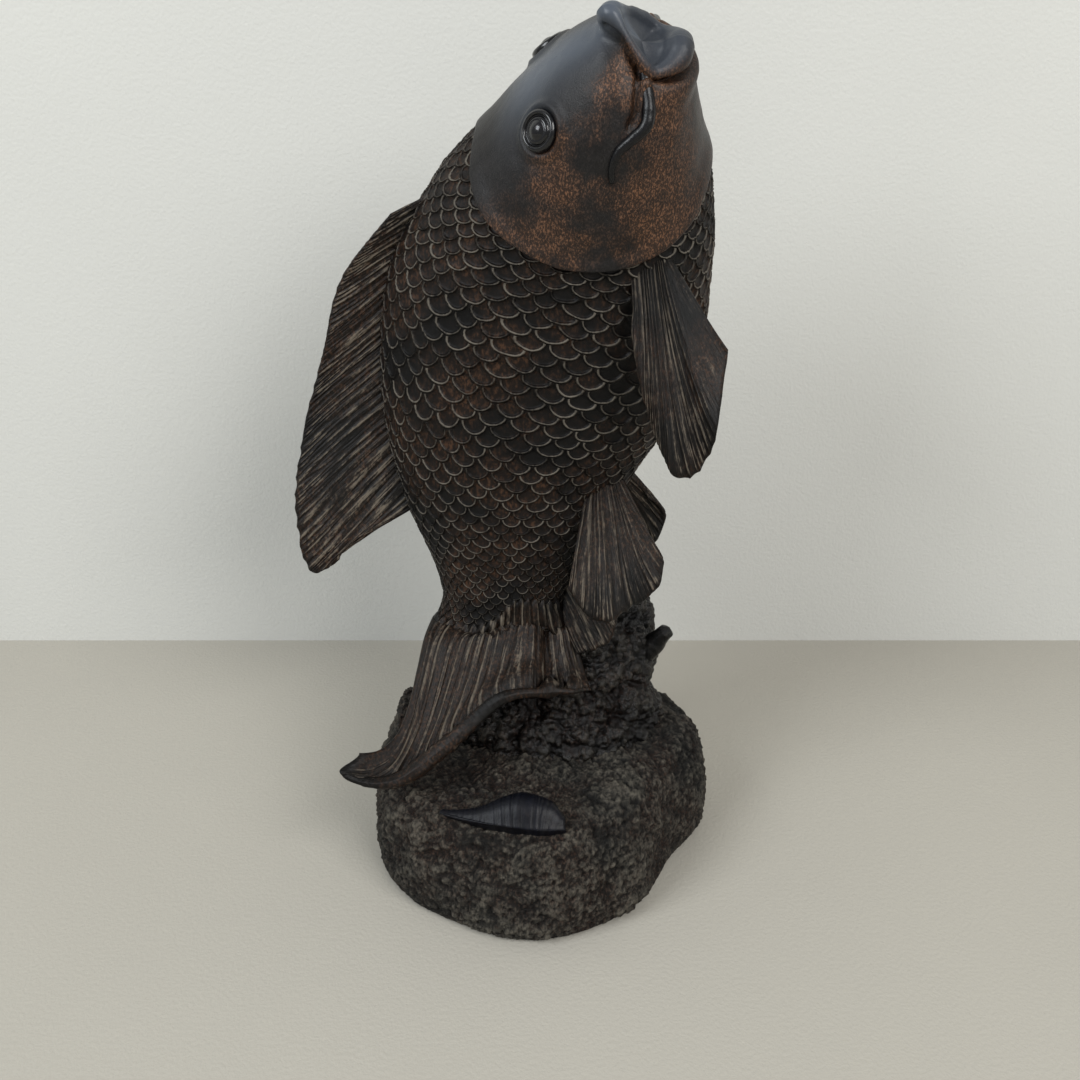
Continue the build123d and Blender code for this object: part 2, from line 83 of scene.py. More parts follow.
# Place along the backbone, and shares of the depth to the back and to the belly and of the thickness
GIRTHS = (
    (0.000, 0.50, 0.48, 0.34),
    (0.062, 0.47, 0.43, 0.38),
    (0.215, 0.73, 0.73, 0.61),
    (0.376, 0.94, 1.00, 0.85),
    (0.537, 1.01, 1.08, 1.00),
    (0.696, 0.82, 0.93, 1.00),
    (0.790, 0.60, 0.77, 0.92),
    (0.860, 0.43, 0.60, 0.78),
    (0.924, 0.28, 0.45, 0.59),
    (0.970, 0.14, 0.34, 0.42),
    (0.986, 0.07, 0.28, 0.34),
)
# The gill covers' rear edge: angle from the back, place along the backbone
GILL_EDGE = (
    (0, 0.770),
    (14, 0.762),
    (36, 0.738),
    (56, 0.712),
    (73, 0.696),
    (90, 0.690),
    (104, 0.704),
    (118, 0.730),
    (137, 0.768),
    (160, 0.812),
    (180, 0.826),
)
# Fin rays: place across the fin, place along the backbone, angle from the back, the tip's reach to
# the back, outwards and to the tail, and the bow
DORSAL_RAYS = (
    (0.00, 0.665, 2, 0.34, 0.10, 0.26, 0.0),
    (0.15, 0.590, 2, 0.47, 0.14, 0.48, 0.0),
    (0.35, 0.500, 2, 0.46, 0.14, 0.65, 0.0),
    (0.55, 0.410, 2, 0.60, 0.14, 0.81, 0.0),
    (0.74, 0.320, 2, 0.78, 0.18, 0.86, 0.02),
    (0.90, 0.250, 2, 0.80, 0.20, 0.90, 0.04),
    (1.00, 0.200, 2, 0.62, 0.18, 0.36, 0.04),
)
PECTORAL_RAYS = (
    (0.00, 0.700, 118, -0.13, 0.25, 0.26, 0.03),
    (0.17, 0.705, 121, -0.20, 0.46, 0.46, 0.05),
    (0.33, 0.710, 124, -0.30, 0.62, 0.62, 0.06),
    (0.50, 0.715, 127, -0.42, 0.74, 0.70, 0.07),
    (0.67, 0.720, 130, -0.48, 0.76, 0.64, 0.07),
    (0.83, 0.725, 133, -0.46, 0.69, 0.45, 0.05),
    (1.00, 0.730, 136, -0.38, 0.48, 0.15, 0.03),
)
PELVIC_RAYS = (
    (0.00, 0.262, 138, 0.06, 0.42, 0.68, 0.03),
    (0.17, 0.265, 142, -0.04, 0.47, 0.87, 0.05),
    (0.33, 0.270, 146, -0.16, 0.49, 0.93, 0.06),
    (0.50, 0.275, 150, -0.31, 0.44, 0.87, 0.06),
    (0.67, 0.280, 154, -0.41, 0.35, 0.80, 0.06),
    (0.83, 0.285, 158, -0.45, 0.27, 0.57, 0.05),
    (1.00, 0.290, 162, -0.27, 0.18, 0.36, 0.03),
)
ANAL_RAYS = (
    (0.00, 0.185, 180, -0.30, 0.14, 0.42, 0.0),
    (0.30, 0.150, 180, -0.46, 0.22, 0.66, 0.03),
    (0.60, 0.110, 180, -0.52, 0.30, 0.78, 0.04),
    (1.00, 0.060, 180, -0.30, 0.34, 0.56, 0.04),
)
# Tail rays: place across the fin, and the tip and the bow to the back, to the side and downwards
TAIL_RAYS = (
    (0.00, 0.76, 0.74, 0.46, -0.15, 0.03, 0.20),
    (0.10, 0.70, 0.80, 0.59, -0.12, 0.03, 0.20),
    (0.25, 0.45, 0.78, 0.60, -0.04, 0.02, 0.16),
    (0.42, 0.20, 0.70, 0.42, 0.00, 0.00, 0.12),
    (0.60, -0.06, 0.56, 0.18, 0.00, -0.02, 0.09),
    (0.80, -0.31, 0.46, 0.16, 0.00, -0.04, 0.06),
    (1.00, -0.53, 0.36, 0.18, 0.00, -0.04, 0.05),
)
DORSAL_REACH = 42.0
PECTORAL_REACH = 60.0
PELVIC_REACH = 44.0
ANAL_REACH = 32.0
TAIL_REACH = 66.0
# How far each side's fins spread: shares of the reach to the back, outwards and to the tail
LEFT_FOLD = (0.35, 0.60, 1.20)
RIGHT_FOLD = (1.0, 1.0, 1.0)

# A ray's bow runs as s * s * (1 - s) from root to tip, which peaks at 4 / 27
BOW_SCALE = 27 / 4

# Rock, coral, stone and shell
BASE_RADIUS = 65.0
ROCK_HEIGHT = 42.0
PAD_PROUD = 0.6
PAD_RECESS = 1.0
PAD_INSET = 6.0
FOOTPRINT = (0.98, 1.03, 0.97, 0.91, 0.95, 0.94, 0.97, 0.94, 0.96, 1.00, 1.00, 0.97, 0.99, 0.94, 0.88, 0.84)
# Share of the rock's height, share of its radius and shift as a share of the radius
ROCK_RINGS = (
    (0.00, 0.95, 0.00),
    (0.12, 0.99, 0.00),
    (0.38, 1.00, 0.01),
    (0.62, 0.98, 0.02),
    (0.80, 0.96, 0.03),
    (0.93, 0.90, 0.04),
    (1.00, 0.76, 0.06),
)
CORAL_HEIGHT = 61.0
CORAL_RADIUS = 42.0
CORAL_FOOT = 36.0
CORAL_DEPTH = 0.80
# Share of the coral's height, middle in x and y and width, as shares of its radius
CORAL_RINGS = (
    (0.00, 0.08, 0.42, 1.00),
    (0.18, 0.10, 0.44, 1.02),
    (0.34, 0.11, 0.48, 0.92),
    (0.54, 0.10, 0.60, 0.96),
    (0.70, 0.13, 0.70, 0.90),
    (0.86, 0.14, 0.76, 0.78),
    (1.00, 0.22, 0.80, 0.52),
)


# Numbers along curves

def blend(rows, at):
    """The values of a table at places between its rows, on a smooth curve through them."""
    rows = np.asarray(rows, float)
    at = np.asarray(at, float)
    knots = rows[:, 0]
    step = np.clip(np.searchsorted(knots, at) - 1, 0, len(rows) - 2)
    last = len(rows) - 1
    a, b, c, d = (rows[np.clip(step + k, 0, last), 1:] for k in (-1, 0, 1, 2))
    u = ((at - knots[step]) / (knots[step + 1] - knots[step]))[..., None]
    slope_in = (c - a) / 2
    slope_out = (d - b) / 2
    bend_in = 3 * (c - b) - 2 * slope_in - slope_out
    bend_out = 2 * (b - c) + slope_in + slope_out
    return b + u * (slope_in + u * (bend_in + u * bend_out))


def smooth_step(low, high, value):
    """0 below low, 1 above high and smooth between."""
    t = np.clip((value - low) / (high - low), 0, 1)
    return t * t * (3 - 2 * t)


def unit(vectors):
    """Vectors with a length of 1."""
    return vectors / np.maximum(np.linalg.norm(vectors, axis=-1, keepdims=True), TINY)


def end_slope(knots, points, at):
    """The slope at one knot of the cubic through four points."""
    cube, square, line, _ = np.polyfit(knots, points, 3)
    return 3 * cube * at ** 2 + 2 * square * at + line


def trace_backbone(samples=2001):
    """Places along the backbone, its points there and its directions."""
    points = np.array(BACKBONE) * RISE + (0, 0, ROOT_HEIGHT)
    knots = np.concatenate(([0], np.cumsum(np.linalg.norm(np.diff(points, axis=0), axis=1))))
    gaps = np.diff(knots)
    runs = np.diff(points, axis=0) / gaps[:, None]
    system = np.eye(len(points))
    wanted = np.zeros_like(points)
    wanted[0] = end_slope(knots[:4], points[:4], knots[0])
    wanted[-1] = end_slope(knots[-4:], points[-4:], knots[-1])
    for k in range(1, len(points) - 1):
        system[k, k - 1:k + 2] = gaps[k], 2 * (gaps[k - 1] + gaps[k]), gaps[k - 1]
        wanted[k] = 3 * (gaps[k] * runs[k - 1] + gaps[k - 1] * runs[k])
    slopes = np.linalg.solve(system, wanted)
    at = np.linspace(0, knots[-1], samples)
    k = np.clip(np.searchsorted(knots, at) - 1, 0, len(gaps) - 1)
    t = ((at - knots[k]) / gaps[k])[:, None]
    size = gaps[k][:, None]
    traced = (
        points[k] * (1 + 2 * t) * (1 - t) ** 2
        + slopes[k] * size * t * (1 - t) ** 2
        + points[k + 1] * t ** 2 * (3 - 2 * t)
        - slopes[k + 1] * size * t ** 2 * (1 - t)
    )
    length = np.concatenate(([0], np.cumsum(np.linalg.norm(np.diff(traced, axis=0), axis=1))))
    return length / length[-1], traced, unit(np.gradient(traced, axis=0)), length[-1]


SHARES, TRACE, HEADINGS, BACKBONE_LENGTH = trace_backbone()


def along_backbone(place):
    """At places on the backbone: its point and the ways to the back, the right side and the lips."""
    origin = np.stack([np.interp(place, SHARES, TRACE[:, k]) for k in range(3)], axis=-1)
    ahead = unit(np.stack([np.interp(place, SHARES, HEADINGS[:, k]) for k in range(3)], axis=-1))
    heading = np.array((np.cos(radians(BACK_HEADING)), np.sin(radians(BACK_HEADING)), 0))
    to_back = unit(heading - ahead * (ahead @ heading)[..., None])
    return origin, to_back, np.cross(ahead, to_back), ahead


def skin(place, angle, lift=0.0):
    """Points on the fish's skin at places and angles from the back to the right side, lifted off it."""
    place, angle, lift = np.broadcast_arrays(*(np.asarray(v, float) for v in (place, angle, lift)))
    girth = blend(GIRTHS, place)
    turn = np.radians(angle)
    depth = np.where(np.cos(turn) > 0, girth[..., 0], girth[..., 1]) * DEPTH / 2 + lift
    width = girth[..., 2] * THICKNESS / 2 + lift
    x = depth * np.cos(turn)
    y = width * (1 - BACK_NARROWING * np.cos(turn)) * np.sin(turn)
    origin, to_back, to_side, _ = along_backbone(place)
    return origin + to_back * x[..., None] + to_side * y[..., None]


def gill_edge(angle):
    """The place of the gill covers' rear edge at angles round the fish."""
    return blend(GILL_EDGE, 180 - np.abs(180 - np.mod(angle, 360)))[..., 0]


# Meshes

# A bubble's radius as a share of the distance to the next, and how far a tube's ends bulge past
# its path as shares of their radii
BUBBLE_RADIUS = 0.72
HEEL_SHARE = 0.6
TIP_SHARE = 0.8
# A way that no tube takes
SLANT = (1.0, 0.2, 0.1)


def through(rings, steps):
    """Rows on smooth curves through rings of points, with so many steps from each to the next."""
    rings = np.array([np.broadcast_to(ring, rings[1].shape) for ring in rings])
    moves = np.diff(rings, axis=0)
    gaps = np.linalg.norm(moves, axis=2).mean(axis=1)[:, None, None] + TINY
    runs = moves / gaps
    inner = (runs[:-1] * gaps[1:] + runs[1:] * gaps[:-1]) / (gaps[1:] + gaps[:-1])
    slopes = np.concatenate((runs[:1], inner, runs[-1:]))
    rows = []
    for k, count in enumerate(steps):
        for t in np.arange(count) / count:
            rows.append(
                rings[k] * (1 + 2 * t) * (1 - t) ** 2
                + slopes[k] * gaps[k] * t * (1 - t) ** 2
                + rings[k + 1] * t ** 2 * (3 - 2 * t)
                - slopes[k + 1] * gaps[k] * t ** 2 * (1 - t)
            )
    rows.append(rings[-1])
    return np.array(rows)


def outward(points):
    """Unit normals of a grid whose first and last columns meet, pointing out of it."""
    ring = points[:, :-1]
    round_it = np.roll(ring, -1, axis=1) - np.roll(ring, 1, axis=1)
    normals = unit(np.cross(round_it, np.gradient(ring, axis=0)))
    if (normals * (ring - ring.mean(axis=1, keepdims=True))).sum() < 0:
        normals = -normals
    return np.concatenate((normals, normals[:, :1]), axis=1)


def lifted(points, height):
    """A closed grid with its points moved outwards."""
    return points + outward(points) * height[..., None]


def rough(points, size, octaves=3):
    """Noise from about -1 to 1 at points, with bumps of a size in millimetres."""
    flat = (points.reshape(-1, 3) / size).tolist()
    values = [noise.fractal(Vector(point), 1.0, 2.0, octaves) for point in flat]
    return np.array(values).reshape(points.shape[:-1])


def bubbles(points, size):
    """Round bumps from 0 to 1 at points, packed like bubbles of a size in millimetres."""
    flat = (points.reshape(-1, 3) / size).tolist()
    nearest = np.array([noise.voronoi(Vector(point))[0][0] for point in flat])
    return np.sqrt(np.clip(1 - (nearest / BUBBLE_RADIUS) ** 2, 0, 1)).reshape(points.shape[:-1])


def distance(points, path):
    """How far each point of a grid is from the nearest point of a path."""
    nearest = np.full(points.shape[:-1], np.inf)
    for spot in path:
        nearest = np.minimum(nearest, ((points - spot) ** 2).sum(axis=-1))
    return np.sqrt(nearest)


def hump(value, width):
    """1 at a value of 0, falling off smoothly over a width."""
    return np.exp(-(value / width) ** 2)


def rounded_ends(share, width):
    """1 along a share from 0 to 1, and down a quarter circle to 0 over a width at each end."""
    return np.sqrt(1 - (1 - np.clip(np.minimum(share, 1 - share) / width, 0, 1)) ** 2)


def ridges(phase):
    """1 at whole numbers, 0 halfway between them and smooth from one to the next."""
    return 0.5 + 0.5 * np.cos(2 * pi * phase)


def noise_line(shares, bumps, *seed):
    """Noise from about -1 to 1 at shares of a line, with so many bumps along it."""
    return np.array([noise.noise(Vector((share * bumps, *seed))) for share in shares])


def there_and_back(there, back=None, axis=0):
    """One side's values followed by the other side's, or by its own, in reverse."""
    back = np.flip(there if back is None else back, axis)
    return np.concatenate((there, np.delete(back, 0, axis)), axis)


def bent_grid(name, points, masks=None, uv_map=None):
    """A closed skin: a flat grid bent through rows of points, with its seam and poles merged."""
    along, across = points.shape[0] - 1, points.shape[1] - 1
    if uv_map is None:
        uv_map = np.stack(np.meshgrid(np.linspace(0, 1, across + 1), np.linspace(0, 1, along + 1)), axis=-1)
    bm = bmesh.new()
    uv_layer = bm.loops.layers.uv.new("UVMap")
    bmesh.ops.create_grid(bm, x_segments=across, y_segments=along, size=0.5)
    flat = np.array([vert.co[:2] for vert in bm.verts]) + 0.5
    columns, rows = np.rint(flat * (across, along)).astype(int).T
    for vert, point in zip(bm.verts, points[rows, columns] * MM):
        vert.co = point
    for mask, values in (masks or {}).items():
        layer = bm.verts.layers.float.new(mask)
        for vert, value in zip(bm.verts, values[rows, columns].tolist()):
            vert[layer] = value
    bm.verts.index_update()
    uvs = uv_map[rows, columns].tolist()
    for face in bm.faces:
        face.smooth = True
        for loop in face.loops:
            loop[uv_layer].uv = uvs[loop.vert.index]
    bmesh.ops.remove_doubles(bm, verts=bm.verts[:], dist=MERGE_DISTANCE)
    bmesh.ops.recalc_face_normals(bm, faces=bm.faces[:])
    return finished(name, bm)


def finished(name, bm):
    """The object of a finished bmesh, at the origin."""
    mesh = bpy.data.meshes.new(name)
    bm.to_mesh(mesh)
    bm.free()
    piece = bpy.data.objects.new(name, mesh)
    bpy.context.scene.collection.objects.link(piece)
    return piece


def dress(piece, material, slot, *nodes):
    """Gives a piece its material, makes it ride on the figurine and stand for CAD nodes; its slot is not
    used.
    """
    piece.data.materials.clear()
    piece.data.materials.append(bpy.data.materials[material])
    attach(piece, BODY)
    if nodes:
        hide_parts(*nodes)
    return piece


def tube(path, radii, sides, steps):
    """Rows of points of a tapering round tube along a smooth path, closed at both ends."""
    path = through([np.array([spot], float) for spot in path], [steps] * (len(path) - 1))[:, 0]
    radii = np.interp(np.linspace(0, 1, len(path)), np.linspace(0, 1, len(radii)), radii)
    turns = np.linspace(0, 2 * pi, sides + 1)
    ahead = unit(np.gradient(path, axis=0))
    aside = np.cross(ahead[0], SLANT)
    rows = []
    for spot, way, radius in zip(path, ahead, radii):
        aside = unit(aside - way * (way @ aside))
        over = np.cross(way, aside)
        rows.append(spot + radius * (np.cos(turns)[:, None] * aside + np.sin(turns)[:, None] * over))
    first = path[0] - ahead[0] * radii[0] * HEEL_SHARE
    last = path[-1] + ahead[-1] * radii[-1] * TIP_SHARE
    return np.array([np.broadcast_to(first, rows[0].shape), *rows, np.broadcast_to(last, rows[0].shape)])


# Fins

# Rays: how far they drift and sway from an even spacing, how broad their tops are, where they
# split in two on the way to the rim, and the finer lines on each
RAY_DRIFT = 0.75
RAY_SWAY = 0.25
RAY_BREADTH = 0.8
RAY_SPLIT = (0.35, 0.85)
FINE_LINES = 3.0
# Blades: how the mesh's rows crowd towards the rim, how ragged the rim is, how the folds grow
# towards it, the sides' thickness as a share of the middle's, and the rounding of sides and rim
ROW_CROWDING = 1.25
RAGGED_SHARE = 0.04
FOLD_GROWTH = 1.2
SIDE_SHARE = 0.45
SIDE_ROUNDING = 0.025
RIM_ROUNDING = 0.05
# Half a blade's least thickness, and the one below which its rays grow shallower
LEAST_HALF = 0.25
SHALLOW_HALF = 0.8
# The height of the rays that lies on the blade's own surface
RAY_LEVEL = 0.6


def fin_rays(rows, spread, reach, side=1, fold=RIGHT_FOLD):
    """Roots, tips and bows of a fin's rays that grow from the fish's skin."""
    place, angle, back, out, tail, bow = np.moveaxis(blend(rows, spread), -1, 0)
    root = skin(place, side * angle, -FIN_SEAT)
    _, to_back, to_side, ahead = along_backbone(place)
    tip = root + reach * (
        to_back * (back * fold[0])[:, None]
        + to_side * (side * out * fold[1])[:, None]
        - ahead * (tail * fold[2])[:, None]
    )
    return root, tip, to_side * (side * bow * reach)[:, None]


def along_ray(root, tip, bow, share):
    """Points at shares of the way from a ray's root to its tip, bowed on the way."""
    return root + (tip - root) * share + bow * BOW_SCALE * share ** 2 * (1 - share)


def half_thickness(sizes, share):
    """Half a blade's thickness at shares of the way from its root to its rim."""
    at_root, at_rim = sizes
    return (at_rim + (at_root - at_rim) * np.clip(1 - share, 0, 1) ** THINNING_POWER) / 2


def ray_relief(spread, share, count, seed):
    """Raised rays from 0 to 1: uneven, split in two towards the rim, with finer lines on them."""
    line = spread[0]
    drift = np.array([noise.fractal(Vector((s * count * 0.45, seed, 0.5)), 1.0, 2.0, 3) for s in line])
    strength = 0.75 + 0.45 * noise_line(line, count * 0.9, seed, 8.5)
    phase = spread * count + RAY_DRIFT * drift + RAY_SWAY * np.sin(4 * share + 9 * spread)
    whole, split = (ridges(phase * rays) ** RAY_BREADTH for rays in (1, 2))
    fine = ridges(phase * FINE_LINES + 2 * RAY_DRIFT * drift)
    mix = smooth_step(*RAY_SPLIT, share)
    return np.clip(strength * (0.74 * (whole * (1 - mix) + split * mix) + 0.30 * fine), 0, 1)


def fin_blade(rays, sizes, ray_count, across, along, relief, wave, seed, folds=()):
    """Rows of points and the masks of a fin: thick at its root, thin and uneven at its rim.

    A fold is its place across the fin, its width there and how far it stands up.
    """
    spread = np.linspace(0, 1, across + 1)
    root, tip, bow = rays(spread)
    share = 1 - (1 - np.linspace(0, 1, along + 1)) ** ROW_CROWDING
    ragged = noise_line(spread, ray_count * 0.8, seed, 3.1)
    share_grid = share[:, None] * (1 - RAGGED_SHARE * np.abs(ragged))
    middle = along_ray(root, tip, bow, share_grid[..., None])
    normal = unit(np.cross(np.gradient(middle, axis=1), np.gradient(middle, axis=0)))
    bend = wave * noise_line(spread, 5.0, seed, 7.7)
    for place, width, rise in folds:
        bend = bend + rise * hump(spread - place, width)
    middle = middle + normal * (bend * share_grid ** FOLD_GROWTH)[..., None]
    swell = SIDE_SHARE + (1 - SIDE_SHARE) * np.sin(pi * spread)
    half = half_thickness(sizes, share_grid) * swell
    rays_up = ray_relief(np.broadcast_to(spread, share_grid.shape), share_grid, ray_count, seed)
    half = half + relief * (rays_up - RAY_LEVEL) * np.minimum(1, half / SHALLOW_HALF)
    half = np.maximum(half, LEAST_HALF) * rounded_ends(spread, SIDE_ROUNDING)
    half = half * rounded_ends(share, RIM_ROUNDING)[:, None]
    rise = normal * half[..., None]
    rim = np.clip(there_and_back(share_grid, axis=1), 0, 1)
    masks = {"rays": there_and_back(rays_up, axis=1), "rim": rim}
    return there_and_back(middle + rise, middle - rise, axis=1), masks


# Materials

def paint(red, green, blue):
    """A linear colour from one as a screen shows it, 0 to 255."""
    shares = [value / 255 for value in (red, green, blue)]
    return tuple(s / 12.92 if s <= 0.04045 else ((s + 0.055) / 1.055) ** 2.4 for s in shares)


class Graph:
    """Short calls that add nodes to one node tree and return their output sockets."""

    def __init__(self, tree):
        self.tree = tree

    def add(self, kind, settings=None, output=0, **inputs):
        """A node with its settings, and its inputs by name, each a value or a socket."""
        node = self.tree.nodes.new(kind)
        for key, value in (settings or {}).items():
            setattr(node, key, value)
        for key, value in inputs.items():
            self.feed(node.inputs[key.replace("_", " ")], value)
        return node.outputs[output]

    def feed(self, socket, value):
        """Links or sets an input. A colour may come without its alpha."""
        if isinstance(value, bpy.types.NodeSocket):
            self.tree.links.new(value, socket)
        elif socket.type == "RGBA" and len(value) == 3:
            socket.default_value = (*value, 1.0)
        else:
            socket.default_value = value

    def group(self, name, values):
        """A node group's outputs, with its inputs by name."""
        node = self.tree.nodes.new("ShaderNodeGroup")
        node.node_tree = bpy.data.node_groups[name]
        for key, value in values.items():
            self.feed(node.inputs[key], value)
        return node.outputs

    def coordinates(self, kind):
        """A piece's own coordinates, Object or UV."""
        return self.add("ShaderNodeTexCoord", output=kind)

    def mask(self, name):
        """One of a piece's masks by name."""
        return self.add("ShaderNodeAttribute", {"attribute_name": name}, "Fac")

    def math(self, operation, *values):
        """The result of a sum with numbers."""
        node = self.tree.nodes.new("ShaderNodeMath")
        node.operation = operation
        for socket, value in zip(node.inputs, values):
            self.feed(socket, value)
        return node.outputs[0]

    def product(self, value, other):
        """One number times another."""
        return self.math("MULTIPLY", value, other)

    def ramp(self, value, factor, start):
        """A number times a factor, from a start."""
        return self.math("MULTIPLY_ADD", value, factor, start)

    def between(self, value, low, high):
        """0 below low, 1 above high and smooth between."""
        settings = {"interpolation_type": "SMOOTHSTEP"}
        return self.add("ShaderNodeMapRange", settings, Value=value, From_Min=low, From_Max=high)

    def noise(self, vector, scale, detail=3.0, roughness=0.6):
        """A noise texture's value, with so many bumps to a metre."""
        inputs = {"Vector": vector, "Scale": scale, "Detail": detail, "Roughness": roughness}
        return self.add("ShaderNodeTexNoise", **inputs)

    def stretch(self, vector, scale):
        """A vector with its axes scaled."""
        return self.add("ShaderNodeMapping", Vector=vector, Scale=scale)

    def mix(self, factor, one, other, blend_type="MIX"):
        """Two colours mixed."""
        node = self.tree.nodes.new("ShaderNodeMix")
        node.data_type = "RGBA"
        node.blend_type = blend_type
        sockets = {socket.identifier: socket for socket in (*node.inputs, *node.outputs)}
        for name, value in (("Factor_Float", factor), ("A_Color", one), ("B_Color", other)):
            self.feed(sockets[name], value)
        return sockets["Result_Color"]

    def shaded(self, colour, shade):
        """A colour made darker or paler by a number."""
        grey = self.add("ShaderNodeCombineColor", Red=shade, Green=shade, Blue=shade)
        return self.mix(1.0, colour, grey, "MULTIPLY")


def new_group(name, inputs, outputs):
    """The graph of a new shader node group, with its named inputs and outputs."""
    group = bpy.data.node_groups.new(name, "ShaderNodeTree")
    for label, kind, value in inputs:
        socket = group.interface.new_socket(label, in_out="INPUT", socket_type="NodeSocket" + kind)
        if value is not None:
            socket.default_value = value
    for label, kind in outputs:
        group.interface.new_socket(label, in_out="OUTPUT", socket_type="NodeSocket" + kind)
    given, out = group.nodes.new("NodeGroupInput"), group.nodes.new("NodeGroupOutput")
    return Graph(group), given.outputs, out.inputs


def antique_group():
    """The casting's finish: dark paint, copper rubbed on in patches and pale brushing on what stands up."""
    inputs = (
        ("Vector", "Vector", None),
        ("Raised", "Float", 0.5),
        ("Deep", "Color", (0.01, 0.01, 0.01, 1)),
        ("Paint", "Color", (0.02, 0.02, 0.02, 1)),
        ("Copper", "Color", (0.2, 0.08, 0.04, 1)),
        ("Brushed", "Color", (0.3, 0.25, 0.2, 1)),
        ("Copper Share", "Float", 0.5),
        ("Brush Share", "Float", 0.5),
        ("Speck Scale", "Float", 700.0),
        ("Dullness", "Float", 0.45),
    )
    outputs = (("Color", "Color"), ("Roughness", "Float"), ("Relief", "Float"))
    g, given, out = new_group("Antique finish", inputs, outputs)
    vector = given["Vector"]
    patches = g.noise(vector, scale=42.0, detail=4.0, roughness=0.62)
    speck = g.noise(g.stretch(vector, (1.0, 1.0, 0.55)), given["Speck Scale"], roughness=0.7)
    grain = g.noise(vector, scale=2600.0, detail=2.0)
    mottle = g.noise(vector, scale=190.0)

    # Paint, darker in the hollows and mottled all over
    broken = g.math("ADD", given["Raised"], g.product(g.math("SUBTRACT", speck, 0.5), 0.9))
    colour = g.mix(g.between(broken, 0.10, 0.60), given["Deep"], given["Paint"])
    spans = {"From_Min": 0.3, "From_Max": 0.7, "To_Min": 0.75, "To_Max": 1.25}
    colour = g.shaded(colour, g.add("ShaderNodeMapRange", Value=mottle, **spans))

    # Copper as a dark stain in the patches, with bright specks on it
    worn = g.product(g.between(patches, 0.38, 0.60), given["Copper Share"])
    stain = g.mix(0.86, given["Copper"], given["Deep"])
    colour = g.mix(g.product(worn, 0.8), colour, stain)
    rubbed = g.product(worn, g.between(speck, 0.47, 0.66))
    colour = g.mix(g.product(rubbed, 0.85), colour, given["Copper"])

    # Pale brushing on what stands up
    brushed = g.product(g.between(broken, 0.45, 0.95), g.between(mottle, 0.22, 0.55))
    brushed = g.product(brushed, given["Brush Share"])
    g.feed(out["Color"], g.mix(brushed, colour, given["Brushed"]))
    dull = g.ramp(speck, 0.18, g.math("SUBTRACT", given["Dullness"], 0.09))
    g.feed(out["Roughness"], g.ramp(brushed, 0.2, dull))
    g.feed(out["Relief"], g.ramp(grain, 0.35, g.product(speck, 0.65)))


# What each row and column adds to a scale's own mark
ROW_MARK = 7.31
COLUMN_MARK = 3.17


def scale_cells_group():
    """Overlapping half-round scales from a vector of columns and rows: rim, slope and a tint of each."""
    inputs = (("Vector", "Vector", None), ("Rim Width", "Float", 0.12))
    outputs = (("Rim", "Float"), ("Slope", "Float"), ("Tint", "Float"))
    g, given, out = new_group("Scale cells", inputs, outputs)
    split = g.tree.nodes.new("ShaderNodeSeparateXYZ")
    g.feed(split.inputs[0], given["Vector"])
    column, row = split.outputs[0], split.outputs[1]
    found = []
    for step in (0.0, 1.0):
        scale_row = g.math("ADD", g.math("FLOOR", row), step)
        shifted = g.math("SUBTRACT", column, g.product(g.math("PINGPONG", scale_row, 1.0), 0.5))
        middle = g.math("ROUND", shifted)
        aside = g.product(g.math("SUBTRACT", shifted, middle), 2.0)
        past = g.math("SUBTRACT", row, scale_row)
        below = g.math("MINIMUM", past, 0.0)
        round_it = g.math("SQRT", g.math("ADD", g.product(aside, aside), g.product(below, below)))
        near = g.math("ADD", g.math("SUBTRACT", 1.0, round_it), g.math("MAXIMUM", past, 0.0))
        mark = g.math("ADD", g.product(scale_row, ROW_MARK), g.product(middle, COLUMN_MARK))
        found.append((near, mark))
    on_top = g.math("GREATER_THAN", found[1][0], 0.0)
    near, mark = (
        g.math("ADD", under, g.product(g.math("SUBTRACT", over, under), on_top))
        for under, over in zip(*found)
    )
    width = given["Rim Width"]
    offset = g.math("ABSOLUTE", g.math("SUBTRACT", near, width))
    g.feed(out["Rim"], g.math("SUBTRACT", 1.0, g.between(offset, 0.0, width)))
    g.feed(out["Slope"], g.between(near, 0.0, 1.3))
    g.feed(out["Tint"], g.add("ShaderNodeTexWhiteNoise", {"noise_dimensions": "1D"}, W=mark))


def scale_cells(column, row):
    """The same scales as the node group's, as numbers: how far inside the edge, and each one's mark."""
    found = []
    for step in (0, 1):
        scale_row = np.floor(row) + step
        shifted = column - 0.5 * np.mod(scale_row, 2)
        middle = np.round(shifted)
        aside = 2 * (shifted - middle)
        past = row - scale_row
        near = 1 - np.hypot(aside, np.minimum(past, 0)) + np.maximum(past, 0)
        found.append((near, scale_row * ROW_MARK + middle * COLUMN_MARK))
    (under, under_mark), (over, over_mark) = found
    return np.where(over > 0, over, under), np.where(over > 0, over_mark, under_mark)


